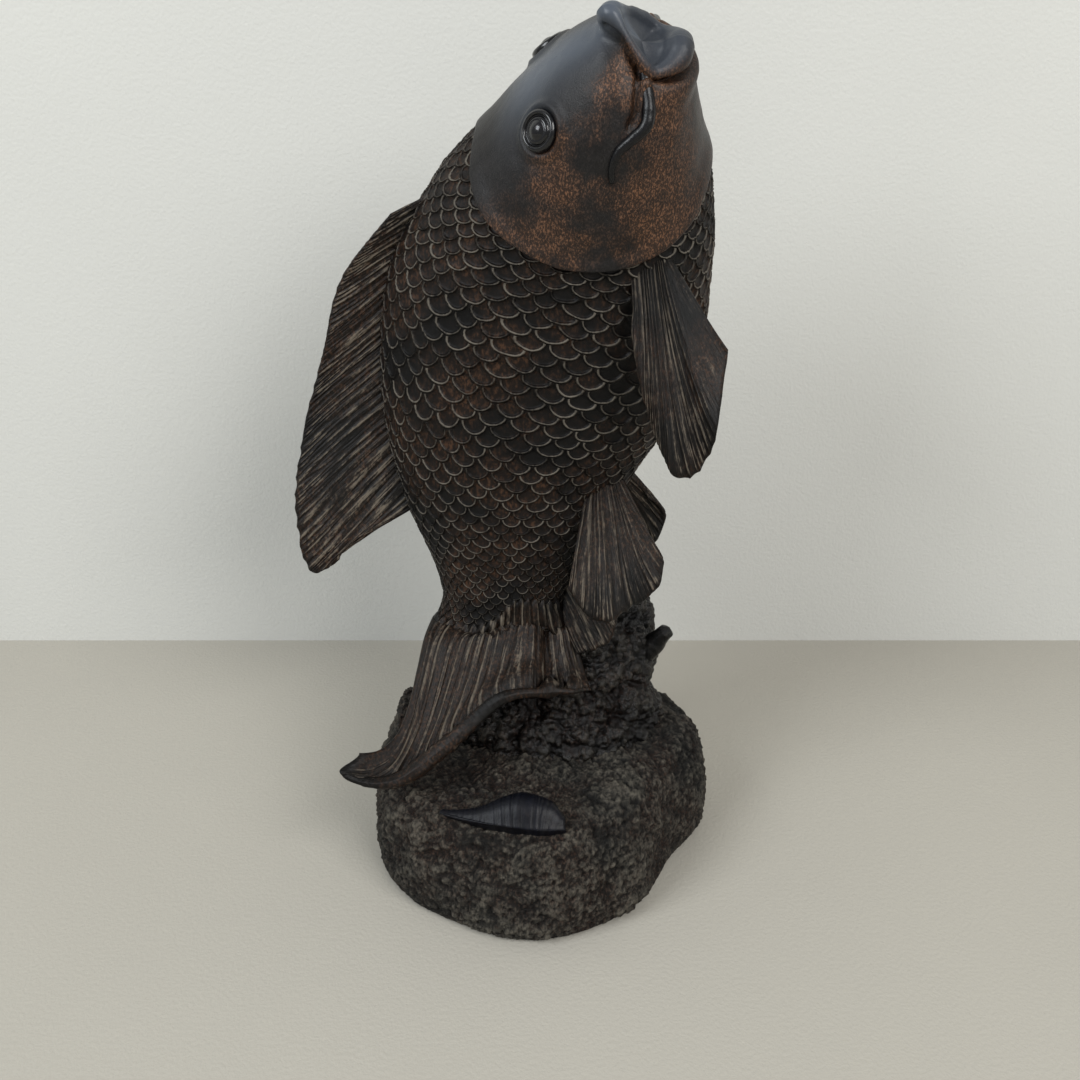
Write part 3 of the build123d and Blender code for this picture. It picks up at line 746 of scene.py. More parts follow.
# Each surface's values for the antique finish: four paints by their names in FigurineColours, how
# much copper and how much brushing it has, the scale of its specks and how dull it is
FINISH_INPUTS = (
    "Deep", "Paint", "Copper", "Brushed", "Copper Share", "Brush Share", "Speck Scale", "Dullness",
)
FINISHES = {
    "scales": ("scale_deep", "scale_face", "copper", "scale_rim", 0.22, 0.95, 900.0, 0.50),
    "head": ("head_deep", "head_face", "copper", "head_brushed", 0.0, 0.10, 2100.0, 0.42),
    "barbels": ("eye", "eye", "copper", "head_brushed", 0.0, 0.0, 2100.0, 0.30),
    "eyes": ("eye", "eye", "copper", "head_brushed", 0.0, 0.0, 2100.0, 0.20),
    "fins": ("fin_deep", "fin_face", "copper", "fin_brushed", 0.16, 0.62, 1000.0, 0.46),
    "rock": ("rock_deep", "rock_face", "rock_rust", "rock_brushed", 0.5, 0.80, 1150.0, 0.58),
    "coral": ("coral_deep", "coral_face", "rock_rust", "rock_brushed", 0.2, 0.12, 700.0, 0.22),
    "shell": ("shell_deep", "shell_face", "rock_rust", "rock_brushed", 0.05, 0.03, 900.0, 0.40),
}


def chosen_colour(name):
    """One of the colours that a user would change."""
    return tuple(getattr(bpy.context.scene.figurine_colours, name))


def antique(g, raised, surface, changes=None):
    """The antique finish with a surface's values, in a material's graph."""
    values = [chosen_colour(value) if isinstance(value, str) else value for value in FINISHES[surface]]
    given = {"Vector": g.coordinates("Object"), "Raised": raised, **dict(zip(FINISH_INPUTS, values))}
    return g.group("Antique finish", {**given, **(changes or {})})


def new_material(name, bump_depth, specular=0.3, **settings):
    """The graph of a new material, whose bump node feeds its shader's normal."""
    material = bpy.data.materials.new(name)
    material.use_nodes = True
    g = Graph(material.node_tree)
    shader = g.tree.nodes["Principled BSDF"].inputs
    shader["Specular IOR Level"].default_value = specular
    for key, value in settings.items():
        shader[key.replace("_", " ")].default_value = value
    g.feed(shader["Normal"], g.add("ShaderNodeBump", {"name": "Relief"}, Distance=bump_depth, Strength=1.0))
    return g


def show(g, colour, roughness, height):
    """Feeds a material its colour, roughness and relief."""
    shader = g.tree.nodes["Principled BSDF"].inputs
    g.feed(shader["Base Color"], colour)
    g.feed(shader["Roughness"], roughness)
    g.feed(g.tree.nodes["Relief"].inputs["Height"], height)


def fish_skin_material(columns, rows):
    """Dark scales with pale worn rims, in so many columns and rows."""
    g = new_material("Fish skin", 0.0006, 0.18)
    cells = g.stretch(g.coordinates("UV"), (columns, rows, 1.0))
    rim, slope, tint = g.group("Scale cells", {"Vector": cells, "Rim Width": 0.18})
    done = antique(g, g.product(rim, g.ramp(tint, 0.42, 0.62)), "scales")
    shade = g.product(g.ramp(tint, 0.5, 0.75), g.ramp(slope, 0.35, 0.72))
    height = g.ramp(slope, -0.45, rim)
    height = g.ramp(done["Relief"], 0.30, height)
    show(g, g.shaded(done["Color"], shade), done["Roughness"], height)


def head_material():
    """Copper specks where the head's mask says so, and a painted reflection: a cool sheen painted on the
    brow and lips.
    """
    g = new_material("Head skin", 0.00018, 0.25)
    raised, copper, sheen = (g.mask(name) for name in ("raised", "copper", "sheen"))
    done = antique(g, raised, "head", {"Copper Share": copper})
    # The painted reflection: the cool sheen colour mixed in where its mask is
    colour = g.mix(g.product(sheen, 0.75), done["Color"], chosen_colour("head_painted_reflection"))
    dull = g.ramp(sheen, -0.12, done["Roughness"])
    show(g, colour, dull, g.product(done["Relief"], g.ramp(sheen, -0.7, 1.0)))


def fin_material(name, streaks):
    """Fine rays with so many streaks of pale brushing along them."""
    g = new_material(name, 0.0005, 0.2)
    rays, rim = (g.mask(mask) for mask in ("rays", "rim"))
    rays = g.product(rays, g.ramp(g.between(rim, 0.93, 0.99), -0.65, 1.0))
    streak = g.noise(g.stretch(g.coordinates("UV"), (streaks, 2.0, 1.0)), 2.4)
    raised = g.product(rays, g.math("ADD", g.between(streak, 0.36, 0.66), 0.52))
    done = antique(g, raised, "fins")
    relief = g.ramp(streak, 0.9, g.product(done["Relief"], 0.3))
    show(g, done["Color"], done["Roughness"], relief)


def cast_material(name, surface, bump_depth, mask=None, **shader):
    """A plain cast surface with the antique finish, raised by a mask or by its own noise."""
    g = new_material(name, bump_depth, **shader)
    raised = g.mask(mask) if mask else g.noise(g.coordinates("Object"), scale=260.0)
    done = antique(g, raised, surface)
    show(g, done["Color"], done["Roughness"], done["Relief"])


def materials():
    """Makes the finishes, once. The scales' is made with the scales, whose rows it counts."""
    if "Head skin" in bpy.data.materials:
        return
    antique_group()
    scale_cells_group()
    head_material()
    cast_material("Barbel skin", "barbels", 0.0001)
    cast_material("Eye gloss", "eyes", 0.00005, Coat_Weight=0.4, Coat_Roughness=0.1)
    cast_material("Rock grain", "rock", 0.0016, "raised", specular=0.2)
    cast_material("Coral crust", "coral", 0.0008, "raised", specular=0.25)
    cast_material("Seashell glaze", "shell", 0.00012, "rays", specular=0.18)
    fin_material("Fin rays", 90.0)
    fin_material("Tail rays", 60.0)


# Properties

def colour_property(name, description, default):
    """A colour that a user would change."""
    return FloatVectorProperty(
        name=name, description=description, subtype="COLOR", size=3, min=0.0, max=1.0, default=default
    )


def length_property(name, description, millimetres):
    """A length that a user would change."""
    return FloatProperty(
        name=name, description=description, unit="LENGTH", min=0.0, precision=5, default=millimetres * MM
    )


class FigurineSizes(bpy.types.PropertyGroup):
    """Sizes of the carving"""

    scale_columns: IntProperty(name="Scale Columns", description="Scales round the fish", min=8, default=30)
    scale_aspect: FloatProperty(
        name="Scale Row Share", description="Row pitch as a share of a scale's width", min=0.2, default=0.43
    )
    scale_relief: length_property("Scale Relief", "How far a scale's free edge stands up", 0.75)
    ray_relief: length_property("Ray Relief", "How far the fin rays stand up", 0.8)
    tail_ray_relief: length_property("Tail Ray Relief", "How far the tail's rays stand up", 1.5)
    rock_lumps: length_property("Rock Lumps", "How far the rock's lumps stand out", 2.4)
    rock_grain: length_property("Rock Grain", "How far the rock's grains stand out", 0.9)
    coral_bubbles: length_property("Coral Bubbles", "How far the coral's round lumps stand out", 4.0)


class FigurineColours(bpy.types.PropertyGroup):
    """Colours of the finish"""

    scale_deep: colour_property("Scale Hollow", "Paint in the scales' hollows", paint(7, 6, 6))
    scale_face: colour_property("Scale Face", "Paint on the scales", paint(13, 11, 10))
    scale_rim: colour_property("Scale Rim", "Brushing on the scales' rims", paint(108, 102, 93))
    copper: colour_property("Copper", "Copper rubbed over the head and fins", paint(134, 94, 67))
    head_deep: colour_property("Head Hollow", "Paint in the head's grooves", paint(10, 9, 9))
    head_face: colour_property("Head Face", "Paint on the head", paint(20, 18, 18))
    # A painted reflection: a cool highlight painted on the brow and in the mouth
    head_painted_reflection: colour_property("Head Sheen", "Cool paint on the brow and in the mouth", paint(84, 91, 101))
    head_brushed: colour_property("Head Brushing", "Brushing on the head's ridges", paint(120, 116, 114))
    fin_deep: colour_property("Fin Groove", "Paint between the rays", paint(9, 8, 7))
    fin_face: colour_property("Fin Face", "Paint on the rays", paint(22, 19, 17))
    fin_brushed: colour_property("Fin Brushing", "Brushing on the rays", paint(114, 105, 92))
    eye: colour_property("Eye", "Paint on the eyes", paint(9, 9, 11))
    rock_deep: colour_property("Rock Hollow", "Paint in the rock's pits", paint(6, 6, 6))
    rock_face: colour_property("Rock Face", "Paint on the rock", paint(27, 26, 24))
    rock_rust: colour_property("Rock Rust", "Reddish rubbing on the rock", paint(78, 54, 42))
    rock_brushed: colour_property("Rock Brushing", "Brushing on the rock's grains", paint(104, 99, 89))
    coral_deep: colour_property("Coral Hollow", "Paint between the coral's lumps", paint(5, 5, 5))
    coral_face: colour_property("Coral Face", "Paint on the coral", paint(8, 8, 8))
    shell_deep: colour_property("Shell Groove", "Glaze in the shell's grooves", paint(8, 9, 14))
    shell_face: colour_property("Shell Face", "Glaze on the shell", paint(8, 10, 18))
    wall: colour_property("Wall", "Paint of the wall behind", paint(203, 203, 198))
    floor: colour_property("Floor", "Surface that the figurine stands on", paint(174, 170, 160))


# Operators

class FigurinePiece:
    """What the operators that make pieces share."""

    bl_options = {"REGISTER"}

    @property
    def sizes(self):
        """The sizes that a user would change."""
        return bpy.context.scene.figurine_sizes

    def finish(self, *pieces):
        """Ends an operator, with an error where a piece is missing."""
        if not all(pieces):
            raise RuntimeError(f"{self.bl_label}: a piece is missing")
        return {"FINISHED"}


# The scales: mesh columns to each, the trunk's mesh rows, how far the scales run on under the
# gill covers, how far they stray from their rows and the rows' least pitch
SCALE_MESH_COLUMNS = 13
TRUNK_MESH_ROWS = 250
UNDER_COVER = 0.035
SCALE_STRAY = 0.16
LEAST_PITCH = 2.4


def scale_rows(aspect, columns):
    """Places along the backbone and the count of scale rows up to each, from the tail."""
    place = np.linspace(-0.02, 1.0, 800)
    girth = blend(GIRTHS, np.clip(place, 0, GIRTHS[-1][0]))
    width = (girth[:, 0] + girth[:, 1]) / 2 * DEPTH / 2 * 2 * pi / columns
    pitch = np.maximum(width * aspect, LEAST_PITCH)
    steps = np.diff(place) * BACKBONE_LENGTH / ((pitch[:-1] + pitch[1:]) / 2)
    return place, np.concatenate(([0], np.cumsum(steps)))


class FIGURINE_OT_body(FigurinePiece, bpy.types.Operator):
    """Makes the fish's trunk with its overlapping scales"""

    bl_idname = "figurine.body"
    bl_label = "Trunk And Scales"

    def execute(self, context):
        columns = self.sizes.scale_columns
        places, counts = scale_rows(self.sizes.scale_aspect, columns)
        angle = np.linspace(0, 360, columns * SCALE_MESH_COLUMNS + 1)
        start = np.interp(0.0, places, counts)
        end = np.interp(gill_edge(angle) + UNDER_COVER, places, counts)
        row = start + (end - start) * np.linspace(0, 1, TRUNK_MESH_ROWS + 1)[:, None]
        place = np.interp(row, counts, places)
        smooth = skin(place, angle)
        column = angle / 360 * columns + SCALE_STRAY * rough(smooth, 13.0, 2)
        row = row + SCALE_STRAY * rough(smooth + 90.0, 11.0, 2)
        near, mark = scale_cells(column, row)

        # A scale slopes up to a rim at its free edge and leans its own way, less so near the tail
        depth = blend(GIRTHS, np.clip(place, 0, 1))[..., 1]
        relief = self.sizes.scale_relief / MM * smooth_step(0.2, 1.0, depth + 0.15)
        rim = hump(near - 0.13, 0.11)
        slope = 1 - smooth_step(0.0, 1.5, near)
        lean = np.sin(mark * 12.9) * 0.12
        points = skin(place, angle, relief * (0.45 * slope + 0.80 * rim + lean * slope - 0.55))
        for end_row in (0, -1):
            points[end_row] = points[end_row].mean(axis=0)
        total = float(counts[-1])
        uv_map = np.stack((column / columns, row / total), axis=-1)
        piece = bent_grid("fish_body_scaled", points, uv_map=uv_map)
        fish_skin_material(float(columns), total)
        dress(piece, "Fish skin", "fish_skin", "fish_body")
        return self.finish(piece)


# The eyes' place along the backbone and angle from the back, and the small steps ahead and round
# the fish that show how the skin slopes there
EYE_PLACE = 0.862
EYE_ANGLE = 43.0
STEP_AHEAD = 0.01
STEP_ROUND = 0.573


def skin_seat(place, angle, lift):
    """A spot on the skin with the ways towards the lips, aside and outwards."""
    spot = skin(place, angle, lift)
    ahead = unit(skin(place + STEP_AHEAD, angle, lift) - spot)
    out = unit(np.cross(skin(place, angle + STEP_ROUND, lift) - spot, ahead))
    return spot, ahead, np.cross(out, ahead), out


HEAD_MESH_COLUMNS = 260
# The gill covers' rear, from under the scales round the edge to the cheeks: how far ahead of the
# gill edge, as a share of the backbone, and how far off the skin
COVER_SECTION = (
    (0.030, -6.0),
    (0.012, -1.5),
    (-0.001, 0.3),
    (-0.001, COVER_PROUD + 0.5),
    (0.008, COVER_PROUD + 0.7),
    (0.024, COVER_PROUD + 0.2),
)
# Where the cheeks draw in before the lips, and how far in millimetres
DRAW_IN = (0.925, 0.962)
DRAWN_IN = 4.0
MOUTH_PLACE = 0.986
MOUTH_DROP = 4.0
# The lips' middle line in the mouth's frame: angle from the back, way to back, side and front, radius
LIP_LINE = (
    (0, 12.0, 0.0, 1.5, 3.4),
    (18, 11.0, 2.0, 1.6, 3.0),
    (36, 8.4, 4.0, 1.2, 1.9),
    (58, 5.6, 5.6, 0.3, 1.2),
    (78, 2.8, 7.0, -1.2, 1.2),
    (96, -0.2, 8.2, -2.7, 1.3),
    (112, -3.4, 8.6, -4.2, 1.5),
    (128, -6.0, 7.2, -3.6, 2.2),
    (145, -8.0, 5.2, -2.6, 3.2),
    (162, -9.2, 2.9, -1.6, 3.9),
    (180, -9.5, 0.0, -1.2, 4.2),
)
# The lips are turned a little to the fish's right
LIP_SHIFT = 0.8
# Round the lips from the cheeks over the front to the inside: turn, swell and sink
LIP_SECTION = (
    (-75, 1.1, 1.0),
    (-40, 1.0, 0.2),
    (0, 1.0, 0.0),
    (40, 1.0, 0.0),
    (80, 1.0, 0.0),
    (120, 1.0, 0.0),
    (155, 1.0, 0.0),
)
# The mouth's floor behind the lips: sink, and share of the lips' inner outline
FLOOR_TURN = 165
MOUTH_FLOOR = ((0.8, 0.88), (1.7, 0.60), (2.1, 0.28), (2.2, 0.0))
# The upper jaw's band runs from the lip to the barbel between two creases: rows and angles of the head
JAW_BAND = ((111, 62), (110, 88), (107, 106), (101, 113), (94, 115))
JAW_CREASE = ((108, 24), (108, 48), (106, 68), (104, 86), (97, 103), (90, 107), (85, 107), (81, 104))
CHIN_CREASE = ((106, 180), (106, 150), (106, 128), (102, 121), (96, 120), (90, 118))
CHEEK_HOLLOW = ((104, 30), (98, 60), (94, 92))
# Relief along lines over the head: line, width, rise and how much darker or paler
HEAD_LINES = (
    (JAW_BAND, 2.0, 1.1, 0.0),
    (JAW_CREASE, 1.0, -1.6, -0.60),
    (CHIN_CREASE, 1.2, -0.7, -0.35),
    (CHEEK_HOLLOW, 4.0, -0.5, 0.0),
)
# Relief round an eye: radius, width, rise and how much darker or paler
EYE_SOCKET = ((7.0, 1.3, 1.1, 0.0), (0.0, 4.5, -0.7, 0.0), (6.2, 0.8, 0.0, -0.45))


def narrowing(place, angle):
    """How far the cheeks stand in from the skin before the lips."""
    return DRAWN_IN * smooth_step(*DRAW_IN, place) * np.sin(np.radians(angle)) ** 2


def traced(points, path):
    """Points along a path over a closed grid."""
    share = np.linspace(0, 1, 120)
    row, angle = (np.interp(share, np.linspace(0, 1, len(path)), line) for line in np.transpose(path))
    column = np.mod(angle, 360) / 360 * (points.shape[1] - 1)
    return points[np.rint(row).astype(int), np.rint(column).astype(int)]


def mouth_ring(angle, turn, swell=1.0, sink=0.0):
    """Points round the lips' section at a turn from the outside over the front to the inside."""
    folded = 180 - np.abs(180 - np.mod(angle, 360))
    side = np.where(np.mod(angle, 360) > 180, -1.0, 1.0)
    back, out, front, radius = np.moveaxis(blend(LIP_LINE, folded), -1, 0)
    centre, to_back, to_side, ahead = along_backbone(MOUTH_PLACE)
    length = np.hypot(back, out)
    reach = radius * swell * np.cos(np.radians(turn)) / length
    x = back * (1 + reach) - MOUTH_DROP
    y = out * (1 + reach) * side + LIP_SHIFT
    z = front + radius * swell * np.sin(np.radians(turn)) - sink
    return centre + x[:, None] * to_back + y[:, None] * to_side + z[:, None] * ahead


def head_grid(angle):
    """The head's smooth points, and the rows where its cheeks, its brow and its lips start."""
    edge = gill_edge(angle)
    thin = 0.55 + 0.45 * smooth_step(12, 62, 180 - np.abs(180 - angle))
    rings = [skin(0.80, 0.0, -20.0)]
    for ahead, lift in COVER_SECTION:
        rings.append(skin(edge + ahead, angle, lift * thin if lift > 0 else lift))
    steps = [2, 4, 4, 4, 4, 5]
    first = edge + COVER_SECTION[-1][0]
    for share in (0.25, 0.5, 0.75, 1.0):
        at = first + (DRAW_IN[1] - first) * share
        rings.append(skin(at, angle, COVER_PROUD - narrowing(at, angle)))
        steps.append(18)
    for turn, swell, sink in LIP_SECTION:
        rings.append(mouth_ring(angle, turn, swell, sink))
        steps.append(6)
    for sink, share in MOUTH_FLOOR:
        ring = mouth_ring(angle, FLOOR_TURN, 1.0, sink)
        rings.append(ring * share + ring.mean(axis=0) * (1 - share))
        steps.append(7)
    steps[-1] = 5
    return through(rings, steps), [sum(steps[:count]) for count in (6, 8, 10)]


class FIGURINE_OT_head(FigurinePiece, bpy.types.Operator):
    """Makes the head: gill covers, cheeks, lips and the inside of the mouth"""

    bl_idname = "figurine.head"
    bl_label = "Head"

    def execute(self, context):
        angle = np.linspace(0, 360, HEAD_MESH_COLUMNS + 1)
        points, (cheek_row, brow_row, lip_row) = head_grid(angle)
        height = 0.22 * rough(points, 14.0, 2) + 0.06 * rough(points, 3.0, 2)
        raised = np.full(height.shape, 0.55)
        for side in (1, -1):
            far = distance(points, [skin(EYE_PLACE, side * EYE_ANGLE, COVER_PROUD)])
            for radius, width, rise, shade in EYE_SOCKET:
                mark = hump(far - radius, width)
                height += rise * mark
                raised += shade * mark
            for path, width, rise, shade in HEAD_LINES:
                beside = distance(points, traced(points, [(row, side * at) for row, at in path]))
                height += rise * hump(beside, width)
                raised += shade * hump(beside, width * 1.3)
        height[0] = height[-1] = 0

        row = np.arange(len(points))[:, None]
        folded = 180 - np.abs(180 - angle)
        # The inside of the mouth and the crown of the brow carry a painted reflection: the sheen mask, a
        # cool highlight painted there
        inside = smooth_step(lip_row + 16, lip_row + 34, row)
        crown = hump(folded, 26.0) * smooth_step(cheek_row, brow_row, row)
        copper = smooth_step(40, 66, folded) * (1 - 0.75 * smooth_step(132, 168, folded)) * (1 - inside)
        masks = {
            "raised": np.clip(raised, 0, 1),
            "sheen": np.clip(0.5 * inside + crown, 0, 1),
            "copper": copper * (0.55 + 0.45 * raised),
        }
        piece = bent_grid("head_shaped", lifted(points, height), masks)
        dress(piece, "Head skin", "head_skin", "head")
        return self.finish(piece)


# An eye from the middle of its socket over the rim to the top of the pupil: radius and height
EYE_PROFILE = (
    (0.0, -3.0),
    (5.9, -3.0),
    (6.0, 0.6),
    (5.75, 1.5),
    (5.1, 2.0),
    (4.5, 1.8),
    (4.25, 1.15),
    (4.0, 1.1),
    (3.7, 1.7),
    (3.0, 2.1),
    (2.75, 1.85),
    (2.45, 2.15),
    (1.6, 2.7),
    (0.8, 2.9),
    (0.0, 2.95),
)


class FIGURINE_OT_eyes(FigurinePiece, bpy.types.Operator):
    """Makes the eyes: a rim, a ring and a domed pupil"""

    bl_idname = "figurine.eyes"
    bl_label = "Eyes"

    def execute(self, context):
        made = []
        for name, side in (("right_eye", 1), ("left_eye", -1)):
            spot, ahead, aside, out = skin_seat(EYE_PLACE, side * EYE_ANGLE, COVER_PROUD)
            bm = bmesh.new()
            verts = [bm.verts.new((radius, 0, height)) for radius, height in EYE_PROFILE]
            edges = [bm.edges.new(pair) for pair in zip(verts, verts[1:])]
            turn = {"cent": (0, 0, 0), "axis": (0, 0, 1), "angle": 2 * pi, "steps": 40, "use_merge": True}
            bmesh.ops.spin(bm, geom=verts + edges, **turn)
            bmesh.ops.remove_doubles(bm, verts=bm.verts[:], dist=MERGE_DISTANCE)
            place = Matrix.Identity(4)
            for k, axis in enumerate((ahead, aside, out)):
                place.col[k][:3] = axis
            place.translation = spot
            bmesh.ops.transform(bm, matrix=Matrix.Scale(MM, 4) @ place, verts=bm.verts[:])
            bmesh.ops.recalc_face_normals(bm, faces=bm.faces[:])
            for face in bm.faces:
                face.smooth = True
            piece = finished(name + "_domed", bm)
            rounding = piece.modifiers.new("Rounding", "SUBSURF")
            rounding.levels = rounding.render_levels = 1
            made.append(dress(piece, "Eye gloss", "eye_gloss", name))
        return self.finish(*made)


# A barbel from the lip: place along the backbone, angle from the back, and how far its middle
# stands off the cheek, as a share of its diameter
BARBEL_PATH = (
    (0.964, 112.5, -0.50),
    (0.953, 114.5, -0.10),
    (0.940, 114.5, 0.18),
    (0.929, 112.5, 0.25),
    (0.911, 104.5, 0.25),
    (0.893, 98.5, 0.20),
    (0.873, 97.3, 0.14),
    (0.853, 99.0, 0.10),
)
BARBEL_DIAMETER = 4.2
BARBEL_RADII = (1.3, 1.7, 2.0, 1.8, 1.6, 1.3, 1.0, 0.7)


class FIGURINE_OT_barbels(FigurinePiece, bpy.types.Operator):
    """Makes the barbels that lie on the cheeks"""

    bl_idname = "figurine.barbels"
    bl_label = "Barbels"

    def execute(self, context):
        made = []
        for name, side in (("right_barbel", 1), ("left_barbel", -1)):
            path = [
                skin(place, side * angle, COVER_PROUD + stand * BARBEL_DIAMETER - narrowing(place, angle))
                for place, angle, stand in BARBEL_PATH
            ]
            points = tube(path, BARBEL_RADII, 20, 16)
            piece = bent_grid(name + "_tapered", lifted(points, 0.10 * rough(points, 2.5, 2)))
            made.append(dress(piece, "Barbel skin", "head_skin", name))
        return self.finish(*made)


# A blade's folds: place across it, width there and how far it stands up
PECTORAL_FOLDS = (
    (0.98, 0.06, 3.2),
    (0.84, 0.05, -3.4),
    (0.70, 0.07, 2.2),
    (0.46, 0.05, -2.4),
    (0.25, 0.10, 1.2),
)
PELVIC_FOLDS = (
    (0.10, 0.10, 1.6),
    (0.34, 0.05, -2.6),
    (0.52, 0.07, 1.8),
    (0.72, 0.05, -2.0),
    (0.90, 0.08, 1.6),
)
TAIL_FOLDS = ((0.70, 0.05, 2.4), (0.80, 0.035, -2.6), (0.90, 0.04, 1.9))
# Each fin's rays, reach, side, spread, count of fine rays, mesh columns, wave and folds
FINS = {
    "dorsal_fin": (DORSAL_RAYS, DORSAL_REACH, 1, RIGHT_FOLD, 34, 420, 1.8, ()),
    "anal_fin": (ANAL_RAYS, ANAL_REACH, 1, RIGHT_FOLD, 10, 130, 0.8, ()),
    "right_pectoral_fin": (PECTORAL_RAYS, PECTORAL_REACH, 1, RIGHT_FOLD, 15, 230, 1.0, PECTORAL_FOLDS),
    "left_pectoral_fin": (PECTORAL_RAYS, PECTORAL_REACH, -1, LEFT_FOLD, 15, 230, 1.0, PECTORAL_FOLDS),
    "right_pelvic_fin": (PELVIC_RAYS, PELVIC_REACH, 1, RIGHT_FOLD, 13, 200, 1.2, PELVIC_FOLDS),
    "left_pelvic_fin": (PELVIC_RAYS, PELVIC_REACH, -1, RIGHT_FOLD, 13, 200, 1.2, PELVIC_FOLDS),
}
# Thickness of the fins' blades at the root and at the rim, and their mesh rows
FIN_THICKNESS = (6.5, 2.4)
FIN_MESH_ROWS = 80


class FIGURINE_OT_fins(FigurinePiece, bpy.types.Operator):
    """Makes the dorsal, anal, pectoral and pelvic fins"""

    bl_idname = "figurine.fins"
    bl_label = "Fins"

    def execute(self, context):
        relief = self.sizes.ray_relief / MM
        made = []
        for number, (name, fin) in enumerate(FINS.items()):
            rows, reach, side, fold, count, across, wave, folds = fin
            points, masks = fin_blade(
                lambda spread: fin_rays(rows, spread, reach, side, fold),
                FIN_THICKNESS, count, across, FIN_MESH_ROWS, relief, wave, number * 3.7, folds,
            )
            made.append(dress(bent_grid(name + "_rayed", points, masks), "Fin rays", "fin_skin", name))
        return self.finish(*made)


# Where the tail fin starts on the stalk: angle from the back, place along the backbone
TAIL_COLLAR = (
    (0, 0.004),
    (60, 0.004),
    (72, 0.010),
    (88, 0.032),
    (97, 0.055),
    (106, 0.063),
    (140, 0.056),
    (180, 0.052),
)
# The collar's edge from inside the stalk: how far ahead of it and how far off the skin, and how
# far its teeth reach
COLLAR_SECTION = ((0.010, -1.5), (0.002, 0.6), (-0.006, 1.3))
COLLAR_TEETH = 0.004
# The tail's fine rays, mesh columns to a side, thickness at the root and at the rim, and the
# shares of its length at which it is shaped, with the mesh rows up to each
TAIL_RAY_COUNT = 17
TAIL_MESH_COLUMNS = 230
TAIL_THICKNESS = (22.0, 3.6)
TAIL_SECTIONS = ((0.20, 14), (0.38, 14), (0.56, 14), (0.74, 14), (0.90, 14), (0.985, 8))
TAIL_RAY_LEVEL = 0.62


def tail_grid():
    """The tail fin's smooth points and each column's share of the way across it."""
    one_side = np.linspace(0, 1, TAIL_MESH_COLUMNS + 1)
    spread = there_and_back(one_side)
    side = there_and_back(np.ones_like(one_side), -np.ones_like(one_side))
    angle = side * np.degrees(np.arccos(1 - 2 * spread))
    collar = blend(TAIL_COLLAR, np.abs(angle))[:, 0]
    collar = collar + COLLAR_TEETH * np.cos(2 * pi * TAIL_RAY_COUNT * spread)
    origin, to_back, to_side, ahead = along_backbone(0.0)
    back, belly = (share * DEPTH / 2 for share in GIRTHS[0][1:3])
    axes = np.stack((to_back, to_side, -ahead)) * TAIL_REACH
    row = blend(TAIL_RAYS, spread)
    root = origin + np.outer(back - (back + belly) * spread, to_back) + ahead * FIN_SEAT
    ray = root, origin + row[:, :3] @ axes, row[:, 3:] @ axes
    swell = (0.30 + 0.70 * np.sin(pi * spread)) * rounded_ends(spread, 0.03)

    # The blade's corners are rounded and its rim is ragged
    ragged = noise_line(spread, 13.0, 2.2, 4.4)
    reach = 0.985 - 0.10 * hump(spread, 0.06) - 0.08 * hump(1 - spread, 0.08) + 0.03 * ragged

    def section(share, closed=1.0):
        at = (share * reach)[:, None]
        middle = along_ray(*ray, at)
        slant = there_and_back(np.gradient(middle[:TAIL_MESH_COLUMNS + 1], axis=0))
        normal = unit(np.cross(slant, along_ray(*ray, at + 0.01) - middle))
        normal = normal * np.sign(normal @ to_side)[:, None]
        half = half_thickness(TAIL_THICKNESS, share) * swell * closed
        return middle + normal * (side * half)[:, None]

    rings = [along_backbone(0.06)[0]]
    rings += [skin(collar + forward, angle, lift) for forward, lift in COLLAR_SECTION]
    rings.append(skin(np.maximum(collar - 0.03, 0.002), angle, 1.5))
    rings += [section(share) for share, count in TAIL_SECTIONS]
    rings.append(section(1.0, 0.0))
    return through(rings, [2, 4, 4, 8, *(count for share, count in TAIL_SECTIONS), 4]), spread


class FIGURINE_OT_tail(FigurinePiece, bpy.types.Operator):
    """Makes the tail fin, which grips the stalk, sweeps down and flicks out"""

    bl_idname = "figurine.tail"
    bl_label = "Tail Fin"

    def execute(self, context):
        points, spread = tail_grid()
        share = np.broadcast_to(np.linspace(0, 1, len(points))[:, None], points.shape[:2])
        grid = np.broadcast_to(spread, share.shape)
        rays_up = ray_relief(grid, share * 0.75, TAIL_RAY_COUNT, 5.5)
        fade = smooth_step(0.06, 0.14, share) * (1 - smooth_step(0.87, 0.97, share))
        inner = smooth_step(0.01, 0.10, np.minimum(grid, 1 - grid))
        folds = sum(rise * hump(grid - place, width) for place, width, rise in TAIL_FOLDS)
        folds = folds * smooth_step(0.10, 0.35, share) + 0.8 * np.sin(9.0 * grid + 2.0 * share)
        height = self.sizes.tail_ray_relief / MM * (rays_up - TAIL_RAY_LEVEL) + folds
        masks = {"rays": rays_up, "rim": np.clip(share + 0.02, 0, 1)}
        piece = bent_grid("tail_fin_rayed", lifted(points, height * fade * inner), masks)
        dress(piece, "Tail rays", "fin_skin", "tail_fin")
        return self.finish(piece)


# The pad's seat and the rock's bevelled lower edge: height and share of the base's radius
PAD_SHARE = 1 - PAD_INSET / BASE_RADIUS
UNDERSIDE = (
    (PAD_PROUD + PAD_RECESS, PAD_SHARE * 0.98),
    (PAD_PROUD + PAD_RECESS, PAD_SHARE),
    (PAD_PROUD, PAD_SHARE),
    (PAD_PROUD, 0.925),
    (PAD_PROUD + 1.0, 0.955),
)
ROCK_MESH_COLUMNS = 580
STONE_MESH_COLUMNS = 120
# How much slimmer the smooth rock is, as a share of its radius, so that its grain stays inside
GRAIN_ROOM = 0.015
# The rock's top: share of its radius, share of its height, and its shift
ROCK_TOP = ((0.58, 1.01), (0.30, 1.02))
ROCK_TOP_SHIFT = 0.06
